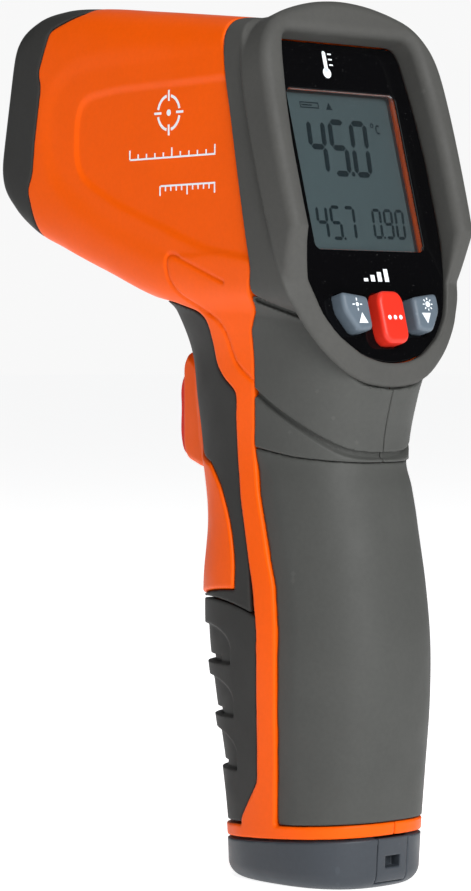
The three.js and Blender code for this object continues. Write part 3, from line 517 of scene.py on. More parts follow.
def mesh_object(name, points, faces):
    mesh = bpy.data.meshes.new(name)
    mesh.vertices.add(len(points))
    mesh.vertices.foreach_set("co", (points * MM).ravel())
    mesh.loops.add(faces.size)
    mesh.loops.foreach_set("vertex_index", faces.ravel())
    mesh.polygons.add(len(faces))
    mesh.polygons.foreach_set("loop_start", np.arange(0, faces.size, faces.shape[1]))
    mesh.polygons.foreach_set("loop_total", np.full(len(faces), faces.shape[1]))
    mesh.polygons.foreach_set("use_smooth", np.ones(len(faces), bool))
    mesh.update(calc_edges=True)
    mesh.validate()
    obj = bpy.data.objects.new(name, mesh)
    bpy.context.scene.collection.objects.link(obj)
    return obj


def moulded(name, field, node, step, margin):
    """A piece from its field, in the box of the CAD node that it stands for and a margin round it."""
    step = step * FINE
    margin = np.array(margin) + 2 * step
    low, high = [np.array(corner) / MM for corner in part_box(node)]
    low, high = low - margin, high + margin
    points, faces = surface_net(sample(field, low, high, step), low, step)
    return mesh_object(name, *largest_part(settle(field, points, step), faces))


def dress(obj, material, nodes=(), body="casing"):
    obj.data.materials.clear()
    obj.data.materials.append(material)
    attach(obj, body)
    if nodes:
        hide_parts(*nodes)
    return obj


def piece(name, field, node, step, margin, slot, look=None, body="casing"):
    """A moulded piece in place of a CAD node, with the material of its slot unless another look is named."""
    return dress(moulded(name, field, node, step, margin), MATERIALS[look or slot], [node], body)


def mirror_copy(obj, name):
    copy = obj.copy()
    copy.data = obj.data.copy()
    copy.name = name
    copy.data.name = name
    copy.data.transform(Matrix.Diagonal((-1, 1, 1, 1)))
    copy.data.flip_normals()
    bpy.context.scene.collection.objects.link(copy)
    return copy


# ---------------------------------------------------------------- materials
def linear(red, green, blue):
    """Linear colour from the usual 0 to 255 values."""
    values = [v / 255 for v in (red, green, blue)]
    return tuple(v / 12.92 if v <= 0.04045 else ((v + 0.055) / 1.055) ** 2.4 for v in values)


def shade(colour, factor):
    return tuple(min(1.0, v * factor) for v in colour)


class Nodes:
    """Short-hand for building one material's node tree."""

    def __init__(self, name):
        self.material = bpy.data.materials.new(name)
        self.material.use_nodes = True
        self.tree = self.material.node_tree
        self.shader = self.tree.nodes["Principled BSDF"]
        self.coordinates = self.add("ShaderNodeTexCoord").outputs["Object"]

    def add(self, kind, inputs=None, **settings):
        node = self.tree.nodes.new(kind)
        for name, value in settings.items():
            setattr(node, name, value)
        for name, value in (inputs or {}).items():
            if isinstance(value, bpy.types.NodeSocket):
                self.tree.links.new(value, node.inputs[name])
            else:
                node.inputs[name].default_value = value
        return node

    def noise(self, scale, detail=2.0, roughness=0.5, stretch=None):
        place = self.coordinates
        if stretch:
            place = self.add("ShaderNodeMapping", {"Vector": place, "Scale": stretch}).outputs["Vector"]
        values = {"Vector": place, "Scale": scale, "Detail": detail, "Roughness": roughness}
        return self.add("ShaderNodeTexNoise", values).outputs["Fac"]

    def ramp(self, value, low, high, start=0.0, end=1.0):
        values = {"Value": value, "From Min": start, "From Max": end, "To Min": low, "To Max": high}
        return self.add("ShaderNodeMapRange", values).outputs["Result"]

    def blend(self, share, first, second, mode="MIX"):
        node = self.add("ShaderNodeMix", data_type="RGBA", blend_type=mode)
        for index, value in ((0, share), (6, first), (7, second)):
            if isinstance(value, bpy.types.NodeSocket):
                self.tree.links.new(value, node.inputs[index])
            else:
                node.inputs[index].default_value = (*value, 1) if isinstance(value, tuple) else value
        return node.outputs[2]

    def bump(self, height, distance, strength=1.0, under=None):
        values = {"Height": height, "Distance": distance, "Strength": strength}
        if under:
            values["Normal"] = under
        return self.add("ShaderNodeBump", values).outputs["Normal"]

    def set(self, **sockets):
        for name, value in sockets.items():
            socket = self.shader.inputs[name.replace("_", " ")]
            if isinstance(value, bpy.types.NodeSocket):
                self.tree.links.new(value, socket)
            else:
                socket.default_value = (*value, 1) if isinstance(value, tuple) else value
        return self.material


def plastic(name, colour, roughness, grain=3200, depth=0.012, wear=0.25, mottle=0.06, specular=0.3):
    """Moulded plastic or elastomer: spark-eroded grain, faint flow mottling and paler worn edges."""
    n = Nodes(name)
    cloud = n.ramp(n.noise(38, 4, 0.6), 1 - mottle, 1 + mottle, 0.3, 0.7)
    speck = n.ramp(n.noise(900, 2), 1 - mottle * 0.6, 1 + mottle * 0.6, 0.3, 0.7)
    tone = n.add("ShaderNodeMath", {0: cloud, 1: speck}, operation="MULTIPLY").outputs[0]
    grey = n.add("ShaderNodeCombineColor", {"Red": tone, "Green": tone, "Blue": tone}).outputs[0]
    base = n.blend(1.0, colour, grey, "MULTIPLY")
    pointed = n.add("ShaderNodeNewGeometry").outputs["Pointiness"]
    edge = n.ramp(pointed, 0.0, wear, 0.54, 0.62)
    worn = n.blend(edge, base, shade(colour, 1.7))
    patches = n.ramp(n.noise(120, 3), roughness - 0.05, roughness + 0.07, 0.3, 0.7)
    fine = n.bump(n.noise(grain, 2), depth * MM, 0.55)
    soft = n.bump(n.noise(260, 3), depth * 2.2 * MM, 0.35, under=fine)
    return n.set(Base_Color=worn, Roughness=patches, Normal=soft, Specular_IOR_Level=specular)


def metal(name, colour, roughness, stretch=None):
    n = Nodes(name)
    streaks = n.noise(700, 3, 0.6, stretch)
    base = n.blend(n.ramp(streaks, 0, 1, 0.3, 0.7), shade(colour, 0.82), shade(colour, 1.08))
    rough = n.ramp(streaks, roughness - 0.06, roughness + 0.08, 0.3, 0.7)
    return n.set(Base_Color=base, Roughness=rough, Metallic=1.0, Normal=n.bump(streaks, 0.006 * MM, 0.4))


def gloss(name, colour, roughness=0.12, coat=0.0, specular=0.5, haze=0.12):
    """Polished sheet with a barely visible haze and a few specks of dust."""
    n = Nodes(name)
    cloud = n.noise(60, 4, 0.65)
    dust = n.ramp(n.noise(2600, 1), 0, 0.1, 0.74, 0.79)
    base = n.blend(dust, n.blend(cloud, colour, shade(colour, 1 + haze)), (0.35, 0.35, 0.35))
    rough = n.ramp(cloud, roughness, roughness + 0.05, 0.35, 0.7)
    return n.set(Base_Color=base, Roughness=rough, Coat_Weight=coat, Specular_IOR_Level=specular)


def clear(name, tint):
    """Thin clear window: it lets light straight through and adds only its own reflection."""
    n = Nodes(name)
    through = n.add("ShaderNodeBsdfTransparent", {"Color": (*tint, 1)})
    smear = n.ramp(n.noise(90, 3), 0.02, 0.06, 0.3, 0.7)
    mirror = n.add("ShaderNodeBsdfGlossy", {"Roughness": smear})
    facing = n.add("ShaderNodeFresnel", {"IOR": 1.3})
    mix = n.add("ShaderNodeMixShader", {0: facing.outputs[0], 1: through.outputs[0], 2: mirror.outputs[0]})
    n.tree.links.new(mix.outputs[0], n.tree.nodes["Material Output"].inputs["Surface"])
    n.tree.nodes.remove(n.shader)
    return n.material


def circuit_board(name):
    """Green solder mask with copper tracks showing through as paler lines."""
    n = Nodes(name)
    cells = n.add("ShaderNodeTexVoronoi", {"Vector": n.coordinates, "Scale": 420.0}, distance="CHEBYCHEV")
    track = n.ramp(cells.outputs["Distance"], 1, 0, 0.30, 0.36)
    base = n.blend(track, (0.012, 0.07, 0.03), (0.03, 0.16, 0.06))
    return n.set(Base_Color=base, Roughness=0.35, Normal=n.bump(track, 0.02 * MM, 0.5))


ORANGE_COLOUR = linear(230, 85, 2)
MATERIALS = {
    "orange_shell": plastic("orange_abs", ORANGE_COLOUR, 0.42, depth=0.010, wear=0.10, mottle=0.03,
                            specular=0.12),
    "dark_rubber": plastic("dark_elastomer", linear(67, 67, 65), 0.6, depth=0.016, wear=0.35, specular=0.18),
    # The dark elastomer made darker for the nose, front grip and door: painted shade for their less lit front
    # faces, not a different rubber
    "front_rubber_painted_shade": plastic("front_elastomer_painted_shade", linear(47, 47, 46), 0.6, depth=0.016, wear=0.35,
                            specular=0.18),
    "grip_rubber": plastic("grip_elastomer", linear(65, 66, 64), 0.56, depth=0.016, wear=0.3, specular=0.2),
    "cap_plastic": plastic("cap_abs", linear(51, 56, 62), 0.45, depth=0.010, wear=0.3),
    "black_gloss": gloss("black_faceplate", (0.0015, 0.0015, 0.0018), 0.06, specular=0.1),
    "black_plastic": plastic("black_abs", linear(22, 22, 24), 0.5, wear=0.2),
    "red_key": plastic("red_silicone", linear(208, 42, 26), 0.4, depth=0.006, wear=0.12, mottle=0.03),
    "grey_key": plastic("grey_silicone", linear(84, 95, 105), 0.45, depth=0.006, wear=0.3, mottle=0.04),
    "clear_window": clear("clear_acrylic", (0.94, 0.96, 0.96)),
    "lcd": gloss("lcd_cell", linear(68, 79, 82), 0.3, specular=0.15, haze=0.06),
    "light_guide": plastic("milky_diffuser", linear(220, 222, 215), 0.45, wear=0.05),
    "board": circuit_board("circuit_board"),
    "steel": metal("plated_steel", (0.52, 0.52, 0.53), 0.3),
    "barrel": metal("anodised_barrel", (0.2, 0.2, 0.21), 0.38, (1, 12, 1)),
    "lens": gloss("infrared_lens", (0.10, 0.055, 0.075), 0.08, coat=0.6, haze=0.5),
    "brass": metal("turned_brass", (0.56, 0.38, 0.15), 0.3, (1, 14, 1)),
    "battery_wrap": gloss("battery_jacket", linear(52, 68, 92), 0.3),
    "socket_plastic": plastic("yellow_socket", linear(214, 176, 60), 0.45, wear=0.15),
    "tray_plastic": plastic("orange_tray", shade(ORANGE_COLOUR, 0.8), 0.5, wear=0.1),
}
INK = gloss("white_print", linear(222, 228, 232), 0.5, specular=0.3, haze=0.04)
SEGMENT_INK = gloss("lcd_segment", linear(14, 26, 31), 0.4, specular=0.1, haze=0.2)


# ---------------------------------------------------------------- housing
PANEL_SEAT = PANEL_BACK - GAP  # the housing's face behind the hood
FLANK_START = (17, 21)  # from the mirror plane: where the features of the flanks fade in
RECESS_DEPTH = 0.55
FRAME_DEPTH = 0.35
LEAF = {"depth": 0.6, "width": 0.42}
LEAF_CURVE = softened(LEAF_LINE, 2.0)[5:-5]
COLLAR_SLOPE = 0.85
DISPLAY_ROOM = {"half": 19.1, "top": 9.3, "bottom": 56.5, "depth": 16}
KEYPAD_ROOM = {"inset": 2.2, "top": 60}
TRIGGER_ROOM = ((-5.6, 20, 102.6), (5.6, 60, 126))


def relief(s):
    """How far the orange flanks are sunk: label recess, its soft frame and the leaf-shaped line."""
    recess = RECESS_DEPTH * step_up(-RECESS.at(s.y, s.z), -1.0, 1.0)
    border = FRAME_DEPTH * step_up(-RECESS_FRAME.at(s.y, s.z), -3.0, 3.0)
    line = LEAF["depth"] * np.exp(-(line_distance(s.y, s.z, LEAF_CURVE) / LEAF["width"]) ** 2)
    return step_up(s.side, *FLANK_START) * (recess + border + line)


def collar(s):
    """The rise of the head towards the bezel's hood."""
    cone = BEZEL.at(s.x, s.down) + 0.5 + COLLAR_SLOPE * (PANEL_SEAT - s.out)
    return both(cone / math.hypot(1, COLLAR_SLOPE), s.out - PANEL_SEAT)


def doorway(s, extra):
    return both(s.from_pin - DOOR_TOP_RADIUS - extra, DOOR_ZONE.at(s.y, s.z))


def display_room(s):
    room = DISPLAY_ROOM
    window = both(s.side - room["half"], room["top"] - s.down, s.down - room["bottom"])
    keypad = both(OPENING.at(s.x, s.down) + KEYPAD_ROOM["inset"], KEYPAD_ROOM["top"] - s.down)
    return both(either(window, keypad), -room["depth"] - s.out)


def hinge_lugs(s):
    y, z = DOOR_PIVOT
    lugs = both(s.block((-LUG[1], y - 4, z - 4.4), (LUG[1], y + 1.2, z + 1.5)), LUG[0] - s.side)
    return both(lugs, PIN_RADIUS + GAP - s.from_pin)


def housing(s, half, drilled):
    """One half of the orange shell: full size in its own zones, and sunk under the soft pieces."""
    under_skin = s.body + SKIN + GAP
    zone = both(s.orange, GAP - NOSES.at(s.along, s.up))
    band = both(s.level - BAND_TOP, BAND_BOTTOM - s.level)
    skin = meet(EDGE, fuse(3.0, s.body, collar(s)) + relief(s), fuse(1.0, zone, band))
    ends = both(s.out - PANEL_SEAT, BAND_BOTTOM - s.level, s.along - NOSE_SPIGOT)
    room = both(under_skin + WALL, s.out - PANEL_SEAT + WALL, BAND_TOP + 1 - s.level)
    solid = meet(0.3, either(skin, under_skin), ends)
    solid = both(solid, -room, -display_room(s), -s.block(*TRIGGER_ROOM))
    solid = carve(0.3, solid, both(doorway(s, GAP), BAND_TOP + 0.1 - s.level))
    solid = either(solid, hinge_lugs(s))
    if drilled:
        for y, z in SCREW_SPOTS:
            bore = np.hypot(s.y - y, s.z - z) - SCREW_HEAD["radius"] - GAP
            solid = carve(0.35, solid, both(bore, SCREW_HEAD["seat"] - s.x))
    return meet(0.25, solid, GAP / 2 - half * s.x)


def make_housing():
    for name, half in (("left", -1), ("right", 1)):
        node = "housing_" + name
        piece(node + "_shell", lambda s: housing(s, half, half > 0), node, 0.5, (1.5, 3, 6), "orange_shell")


# ---------------------------------------------------------------- nose bumper and bezel
NOSE_BORE = (18, -21, 18, 6.4)  # half width, bottom, top and corner radius
NOSE_BORE_START = 75
KEYPAD_RIDGE = {"height": 1.1, "slope": 0.42}
RIDGE_DROP = (50, 61.5)  # distances down the panel over which the ridge comes down
HOOD_ROUNDING = {"display": 2.6, "keypad": 1.0, "keypad_opening": 0.7}


def nose_bumper(s):
    outside = meet(0.4, s.body, NOSES.at(s.along, s.up))
    bore = both(rounded_box(s.x, s.up, *NOSE_BORE), NOSE_BORE_START - s.along)
    spigot = both(s.body + SKIN, s.along - NOSE_SPIGOT - GAP)
    return both(carve(1.1, outside, bore), -spigot)


def ridge(s):
    """Height of the bezel above the faceplate: full beside the display, low and sloping round the keypad."""
    start, end = RIDGE_DROP
    low = KEYPAD_RIDGE["height"] - KEYPAD_RIDGE["slope"] * np.maximum(OPENING.at(s.x, s.down), 0)
    return RIDGE_HEIGHT + (low - RIDGE_HEIGHT) * np.clip((s.down - start) / (end - start), 0, 1)


def bezel(s):
    low_part = step_up(s.down, 50, 66)
    full = HOOD_ROUNDING["display"]
    outer = full + (HOOD_ROUNDING["keypad"] - full) * low_part
    inner = full + (HOOD_ROUNDING["keypad_opening"] - full) * low_part
    block = meet(outer, BEZEL.at(s.x, s.down), s.out - ridge(s))
    block = meet(0.4, block, PANEL_BACK - s.out)
    cheek = meet(0.4, s.body, CHEEKS.at(s.y, s.z), s.out - PANEL_BACK - 0.6)
    whole = fuse(0.8, block, both(cheek, -(s.body + SKIN)))
    return carve(inner, whole, both(OPENING.at(s.x, s.down), PANEL_BACK - 1 - s.out))


# ---------------------------------------------------------------- neck and rear grips
GROOVE_DEPTH = 1.25
GROOVE_CURVES = [softened(line, 3.0)[2:-3] for line in GROOVES]
GROOVE_SIDES = ((0.75, 0.35), (0.95, 0.5))  # from a groove's middle: the top and the foot of its side
GRIP_SINK = 0.8  # how far the rear grip's margin lies below its crown


def groove_depth(s):
    """How far the two dark grooves sink into the grips."""
    upper, lower = [
        step_up(-line_distance(s.y, s.z, curve), -top, -foot)
        for curve, (top, foot) in zip(GROOVE_CURVES, GROOVE_SIDES)
    ]
    return GROOVE_DEPTH * np.maximum(upper, lower)


def neck_pad(s):
    bezel_room = both(BEZEL.at(s.x, s.down) - GAP, PANEL_BACK - GAP - s.out)
    pad = meet(0.3, s.body + groove_depth(s), NECKS.at(s.y, s.z), s.out + 0.9)
    pad = carve(0.2, pad, bezel_room)
    return meet(0.2, both(pad, -(s.body + SKIN)), s.x + GAP / 2)


def grip_rear(s):
    margin = 1 - step_up(-GRIPS.at(s.y, s.z), 0, 7)
    sunk = GRIP_SINK * margin * step_up(-s.z, -112, -100)
    zone = both(GRIPS.at(s.y, s.z), BAND_TOP + GAP - s.level)
    return both(meet(0.2, s.body + sunk, zone), -(s.body + SKIN + 0.2))


def make_soft_pieces():
    piece("nose_cover", nose_bumper, "nose_bumper", 0.5, (1.5, 16, 4), "dark_rubber", "front_rubber_painted_shade")
    piece("display_hood", bezel, "display_bezel", 0.5, 2.5, "dark_rubber")
    left = moulded("neck_grip_left", neck_pad, "neck_pad_left", 0.45, 3.5)
    right = mirror_copy(left, "neck_grip_right")
    dress(left, MATERIALS["grip_rubber"], ["neck_pad_left"])
    dress(right, MATERIALS["grip_rubber"], ["neck_pad_right"])
    piece("rear_grip", grip_rear, "grip_rear", 0.6, (1.5, 3, 4), "grip_rubber")
    piece("front_grip", grip_front, "grip_front", 0.5, 2.5, "dark_rubber", "front_rubber_painted_shade")


# ---------------------------------------------------------------- front grip, surround and trigger
FRONT_INSET = 0.35  # the front grip and the door lie this far under the casing's outline
SURROUND_FLANK = {34: 10.6, SURROUND_FACE: 7.6}  # half width of the block at two distances forward
TRIGGER_SIDE = Outline([
    [27, TRIGGER["bottom"]], [TRIGGER["face"] - 2.8, TRIGGER["bottom"]], [TRIGGER["face"] - 0.9, 105.2],
    [TRIGGER["face"], 109.5], [TRIGGER["face"] - 0.3, 116], [TRIGGER["face"], 120.5],
    [TRIGGER["face"] - 1, 123.8], [TRIGGER["face"] - 2.8, TRIGGER["top"]], [27, TRIGGER["top"]],
], 2.4)


def surround_zone(s):
    return both(SURROUND.at(s.x, s.z), SADDLE.at(s.y, s.z))


def grip_front(s):
    above_door = -doorway(s, GAP + 0.1)
    zone = both(FRONT_GRIPS.at(s.y, s.z), GAP - surround_zone(s), above_door, GAP - s.orange)
    return both(meet(0.35, s.body + FRONT_INSET, zone), -(s.body + SKIN))


def trigger_surround(s):
    saddle = both(meet(0.5, s.body - 0.15, surround_zone(s)), -doorway(s, GAP + 0.1))
    flank = np.interp(s.y, list(SURROUND_FLANK), list(SURROUND_FLANK.values()))
    block = both(meet(1.6, BLOCK.at(s.y, s.z), s.side - flank), SURROUND.at(s.x, s.z))
    whole = both(fuse(1.8, saddle, block), -(s.body + SKIN))
    half = TRIGGER["half"] + 0.4
    slot = s.block((-half, 0, TRIGGER["bottom"] - 0.4), (half, 80, TRIGGER["top"] + 0.4))
    return carve(0.5, whole, slot)


def trigger(s):
    blade = meet(0.9, TRIGGER_SIDE.at(s.y, s.z), s.side - TRIGGER["half"])
    flange = s.block((-6.6, 25.4, TRIGGER["bottom"] - 1.6), (6.6, 27.6, TRIGGER["top"] + 1.2))
    return either(blade, flange)


def make_trigger():
    piece("trigger_guard_block", trigger_surround, "trigger_surround", 0.45, 2.5, "orange_shell")
    piece("trigger_blade", trigger, "trigger", 0.3, 1.0, "red_key", body="trigger")


# ---------------------------------------------------------------- battery door
SCALLOP_TOPS = (62.6, 49.6, 36.6)
SCALLOP = {"reach": 11.5, "rise": 5.6, "drop": 9.4, "depth": 1.0, "middle": 24.0, "lean": 0.05}
NOTCH = {"height": 1.8, "rear": 17.5, "depth": 2.0}
LUG_ROOM = 0.4


def scallops(s):
    """How far the finger recesses, each with a deeper notch at its foot, sink into the door's front."""
    reach, rise, drop = SCALLOP["reach"], SCALLOP["rise"], SCALLOP["drop"]
    sunk = np.zeros_like(s.x)
    for top in SCALLOP_TOPS:
        middle = SCALLOP["middle"] - (SCALLOP_TOPS[0] - top) * SCALLOP["lean"]
        arch = np.hypot((s.y - middle) / reach, (s.z - top + rise) / rise) - 1
        rim = np.where(s.z > top - rise, arch, (middle - reach - s.y) / rise)
        inside = -rise * np.maximum(rim, (top - drop - s.z) / rise)
        notch = either(s.z - top + drop, top - drop + NOTCH["height"] - s.z, s.y - NOTCH["rear"])
        sunk = np.maximum(sunk, SCALLOP["depth"] * step_up(inside, -0.3, 0.45))
        sunk = np.maximum(sunk, NOTCH["depth"] * step_up(notch, -0.25, 0.3))
    return sunk


def battery_door(s):
    y, z = DOOR_PIVOT
    zone = both(doorway(s, 0), BAND_TOP + DOOR_LIFT - s.level, GAP - s.orange)
    shell = both(meet(0.4, s.body + FRONT_INSET + scallops(s), zone), -(s.handle + DOOR_SHELL))
    knuckle = both(s.block((-KNUCKLE, y - 1.6, z - 1.5), (KNUCKLE, y + 1.4, z + 3)), s.body + FRONT_INSET)
    half = LUG[1] + LUG_ROOM
    room = both(s.block((-half, y - 8, z - 8), (half, y + 8, z + 2.4)), LUG[0] - LUG_ROOM - s.side)
    toe = both(y - s.y, s.z - z, DOOR_TOE - s.from_pin)
    bore = both(s.from_pin - PIN_RADIUS - GAP, s.side - KNUCKLE)
    return both(either(shell, knuckle), -room, -toe, -bore)


def make_door():
    piece("battery_cover", battery_door, "battery_door", 0.45, 1.5, "dark_rubber", "front_rubber_painted_shade", "door")


# ---------------------------------------------------------------- foot
FOOT_WALL = 2.2
CAP_DROP = 0.55  # the cap's upper edge below the band
INSERT = {"half": 5, "front": -19, "bottom": 1.6}


def foot_body(s):
    return meet(FOOT_RADIUS, s.handle, -s.z)


def base_cap(s):
    """A cup with a lip under the band, and with room for the insert, the socket and the screws."""
    cup = meet(0.3, foot_body(s), s.level - BAND_BOTTOM + CAP_DROP)
    lip = both(foot_body(s) + 1.1, s.level - BAND_BOTTOM + 0.1)
    inner = both(s.handle + FOOT_WALL, FOOT_WALL - s.z)
    insert = both(s.side - INSERT["half"], s.y - INSERT["front"] + GAP / 2, INSERT["bottom"] - s.z) - GAP / 2
    probe_room = both(s.side - SOCKET["half"], SOCKET["rear"] - s.y, s.y - SOCKET["front"]) - GAP
    spot = np.hypot(s.side - BASE_SCREW[0], s.y - BASE_SCREW[1])
    screws = either(spot - 1.6, both(spot - 3, s.z - 1.2))
    return carve(0.25, both(either(cup, lip), -inner), either(insert, probe_room, screws))


def strap_eyelet(s):
    block = meet(0.25, foot_body(s), s.side - INSERT["half"], s.y - INSERT["front"] + GAP,
                 INSERT["bottom"] - s.z, s.level - BAND_BOTTOM + CAP_DROP)
    return carve(0.3, block, s.block((-2.5, -40, 5.2), (2.5, -20.6, 8)))


def socket(s):
    """The probe socket: a block with one slot for each blade of the plug, the second a little narrower."""
    block = s.block((-SOCKET["half"], SOCKET["rear"], 0.4), (SOCKET["half"], SOCKET["front"], 9.6))
    blades = either(s.block((-5.6, 8.4, -1), (-2.4, 9.6, 7.6)), s.block((2.8, 8.4, -1), (5.4, 9.6, 7.6)))
    return carve(0.2, meet(0.5, block, 0.4 - s.z), blades)


def make_foot():
    piece("foot_cap", base_cap, "base_cap", 0.45, 1.5, "cap_plastic")
    piece("foot_insert", strap_eyelet, "strap_eyelet", 0.3, 1.5, "cap_plastic")
    piece("probe_socket", socket, "thermocouple_socket", 0.3, 1.5, "socket_plastic")


# ---------------------------------------------------------------- flat shapes: outlines and thin solids
def disc(x, down, radius, steps=20):
    turns = [2 * math.pi * i / steps for i in range(steps)]
    return [(x + radius * math.cos(turn), down + radius * math.sin(turn)) for turn in turns]


def bar(left, low, right, high):
    return [(left, low), (right, low), (right, high), (left, high)]


def arc(across, up, radius, width, start, end, steps=8):
    """A curved stroke between two angles in degrees."""
    turns = np.radians(np.linspace(start, end, steps + 1))
    sides = [[(across + r * math.cos(turn), up + r * math.sin(turn)) for turn in turns]
             for r in (radius + width / 2, radius - width / 2)]
    return sides[0] + sides[1][::-1]


def rounded_outline(half, top, bottom, radius, steps=6):
    points = []
    for corner, (sx, sy) in enumerate(((1, 1), (-1, 1), (-1, -1), (1, -1))):
        middle = (sx * (half - radius), (bottom if sy > 0 else top) - sy * radius)
        for step in range(steps + 1):
            turn = math.radians(90 * (corner + step / steps))
            points.append((middle[0] + radius * math.cos(turn), middle[1] + radius * math.sin(turn)))
    return points


def ray_marks(x, down, inner, outer, count, half=0.14):
    """Short strokes pointing away from a middle, as on a lamp symbol."""
    strokes = []
    for i in range(count):
        turn = 2 * math.pi * i / count
        ahead = np.array((math.cos(turn), math.sin(turn)))
        aside = np.array((-ahead[1], ahead[0])) * half
        middle = np.array((x, down))
        strokes.append([middle + ahead * inner - aside, middle + ahead * outer - aside,
                        middle + ahead * outer + aside, middle + ahead * inner + aside])
    return strokes


def panel_point(x, down, out):
    """From panel coordinates to metres."""
    y = PANEL_TOP[0] - down * math.sin(PANEL_TILT) - out * math.cos(PANEL_TILT)
    z = PANEL_TOP[1] - down * math.cos(PANEL_TILT) + out * math.sin(PANEL_TILT)
    return (x * MM, y * MM, z * MM)


def slab(bottom, top):
    """A thin solid between two loops with the same number of points: its points and faces."""
    count = len(bottom)
    faces = [list(range(count)), list(range(2 * count - 1, count - 1, -1))]
    faces += [[(i + 1) % count, i, count + i, count + (i + 1) % count] for i in range(count)]
    return bottom + top, faces


def raised(outline, low, high):
    """A thin flat solid on the panel."""
    return slab(*([panel_point(x, down, out) for x, down in outline] for out in (low, high)))


def ring_solid(outer, inner, low, high):
    """As raised, between two outlines with the same number of points."""
    count = len(outer)
    loops = [(outer, low), (inner, low), (inner, high), (outer, high)]
    points = [panel_point(x, down, out) for outline, out in loops for x, down in outline]
    faces = []
    for band in range(4):
        a, b = band * count, (band + 1) % 4 * count
        faces += [[a + i, a + (i + 1) % count, b + (i + 1) % count, b + i] for i in range(count)]
    return points, faces


def flank_loop(outline, lift):
    """A side-view outline (Y, Z) laid on the left flank of the head, lifted a little off it; in metres."""
    y, z = np.array(outline, float).T
    inside, outside = np.full(len(y), 12.0), np.full(len(y), 45.0)
    for _ in range(24):
        middle = (inside + outside) / 2
        s = Spots(-middle, y, z)
        beyond = s.body + relief(s) > 0
        outside = np.where(beyond, middle, outside)
        inside = np.where(beyond, inside, middle)
    return [(-(x + lift) * MM, v * MM, w * MM) for x, v, w in zip(inside, y, z)]


def joined(name, solids):
    """One object from several closed solids, with every face turned outwards."""
    points, faces = [], []
    for some_points, some_faces in solids:
        faces += [[len(points) + i for i in face] for face in some_faces]
        points += some_points
    mesh = bpy.data.meshes.new(name)
    mesh.from_pydata(points, [], faces)
    work = bmesh.new()
    work.from_mesh(mesh)
    bmesh.ops.recalc_face_normals(work, faces=work.faces)
    work.to_mesh(mesh)
    work.free()
    obj = bpy.data.objects.new(name, mesh)
    bpy.context.scene.collection.objects.link(obj)
    return obj


# ---------------------------------------------------------------- display and keys
PRINT_LIFT = 0.04  # printed marks above the faceplate and the keys
KEY_EDGE = {"rounding": 1.1, "fall": 0.006, "reach": 5}
KEY_FLANGE = {"margin": 0.5, "top": -1.9, "bottom": -2.7}
KEY_SYMBOLS = {
    "left": [[(-9.6, 72.9), (-12.6, 72.9), (-11.1, 70.3)], *ray_marks(-12.2, 68.3, 0.9, 1.6, 4),
             disc(-12.2, 68.3, 0.5)],
    "mode": [disc(x, 71.4, 0.55) for x in (-1.9, 0, 1.9)],
    "right": [[(12.6, 70.2), (9.6, 70.2), (11.1, 72.8)], disc(12.2, 68.0, 0.75),
              *ray_marks(12.2, 68.0, 1.1, 1.65, 8)],
}
# Each segment of a digit as its two ends, in a box one wide and two tall; the order is the usual a to g.
SEGMENT_ENDS = (
    ((0, 0), (1, 0)), ((1, 0), (1, 1)), ((1, 1), (1, 2)), ((0, 2), (1, 2)), ((0, 1), (0, 2)),
    ((0, 0), (0, 1)), ((0, 1), (1, 1)),
)
LIT = {"0": "abcdef", "4": "bcfg", "5": "acdfg", "7": "abc", "9": "abcdfg"}
# Left end, top, width, height, stroke, pitch, text; a point follows the digit before it.
READOUTS = (
    (-11.4, 20.2, 4.7, 13.2, 1.5, 7.3, "45.0"),
    (-13.9, 42.1, 3.0, 7.9, 0.9, 4.7, "45.7"),
    (5.2, 42.4, 2.5, 7.0, 0.8, 4.0, "0.90"),
)
SLANT = 0.075
LCD_FACE = -2.3
SEGMENT_SPAN = (LCD_FACE - 0.02, LCD_FACE + 0.03)
# A bar in a frame and a triangle, in the top row of the display.
STATUS_ROW = [
    bar(-12.6, 15.4, -6.2, 15.7), bar(-12.6, 16.7, -6.2, 17.0), bar(-12.6, 15.7, -12.3, 16.7),
    bar(-6.5, 15.7, -6.2, 16.7), bar(-12.0, 16.0, -8.6, 16.4), [(-2.7, 15.2), (-1.6, 17.1), (-3.8, 17.1)],
]
DEGREE = {"x": 11.1, "down": 20.4, "outer": 0.62, "inner": 0.3}
UNIT_LETTER = {"x": 13.1, "down": 21.4, "outer": (0.95, 1.25), "inner": (0.5, 0.8)}


def faceplate(s):
    plate = meet(0.25, OPENING.at(s.x, s.down) + GAP, s.out, -PLATE_THICKNESS - s.out)
    hole = rounded_box(s.x, s.down, WINDOW["half"], WINDOW["top"], WINDOW["bottom"], 1.8)
    frame_room = rounded_box(s.x, s.down, FRAME_OUTSIDE["half"], *FRAME_OUTSIDE["span"], 0.5)
    keys = either(*(outline.at(s.x, s.down) for outline in KEY_OUTLINES.values())) - GAP
    return carve(0.15, plate, either(hole, both(frame_room, s.out + 0.4), keys))


def key_cap(outline):
    """The field of a key: a domed cap on a flange that stays under the faceplate."""
    def field(s):
        edge = outline.at(s.x, s.down)
        reach = KEY_EDGE["reach"]
        dome = BUTTON_HEIGHT - KEY_EDGE["fall"] * (edge + reach) ** 2 * (edge > -reach)
        cap = meet(KEY_EDGE["rounding"], edge, s.out - dome)
        flange = meet(0.2, edge - KEY_FLANGE["margin"], s.out - KEY_FLANGE["top"])
        return both(either(cap, flange), KEY_FLANGE["bottom"] - s.out)
    return field


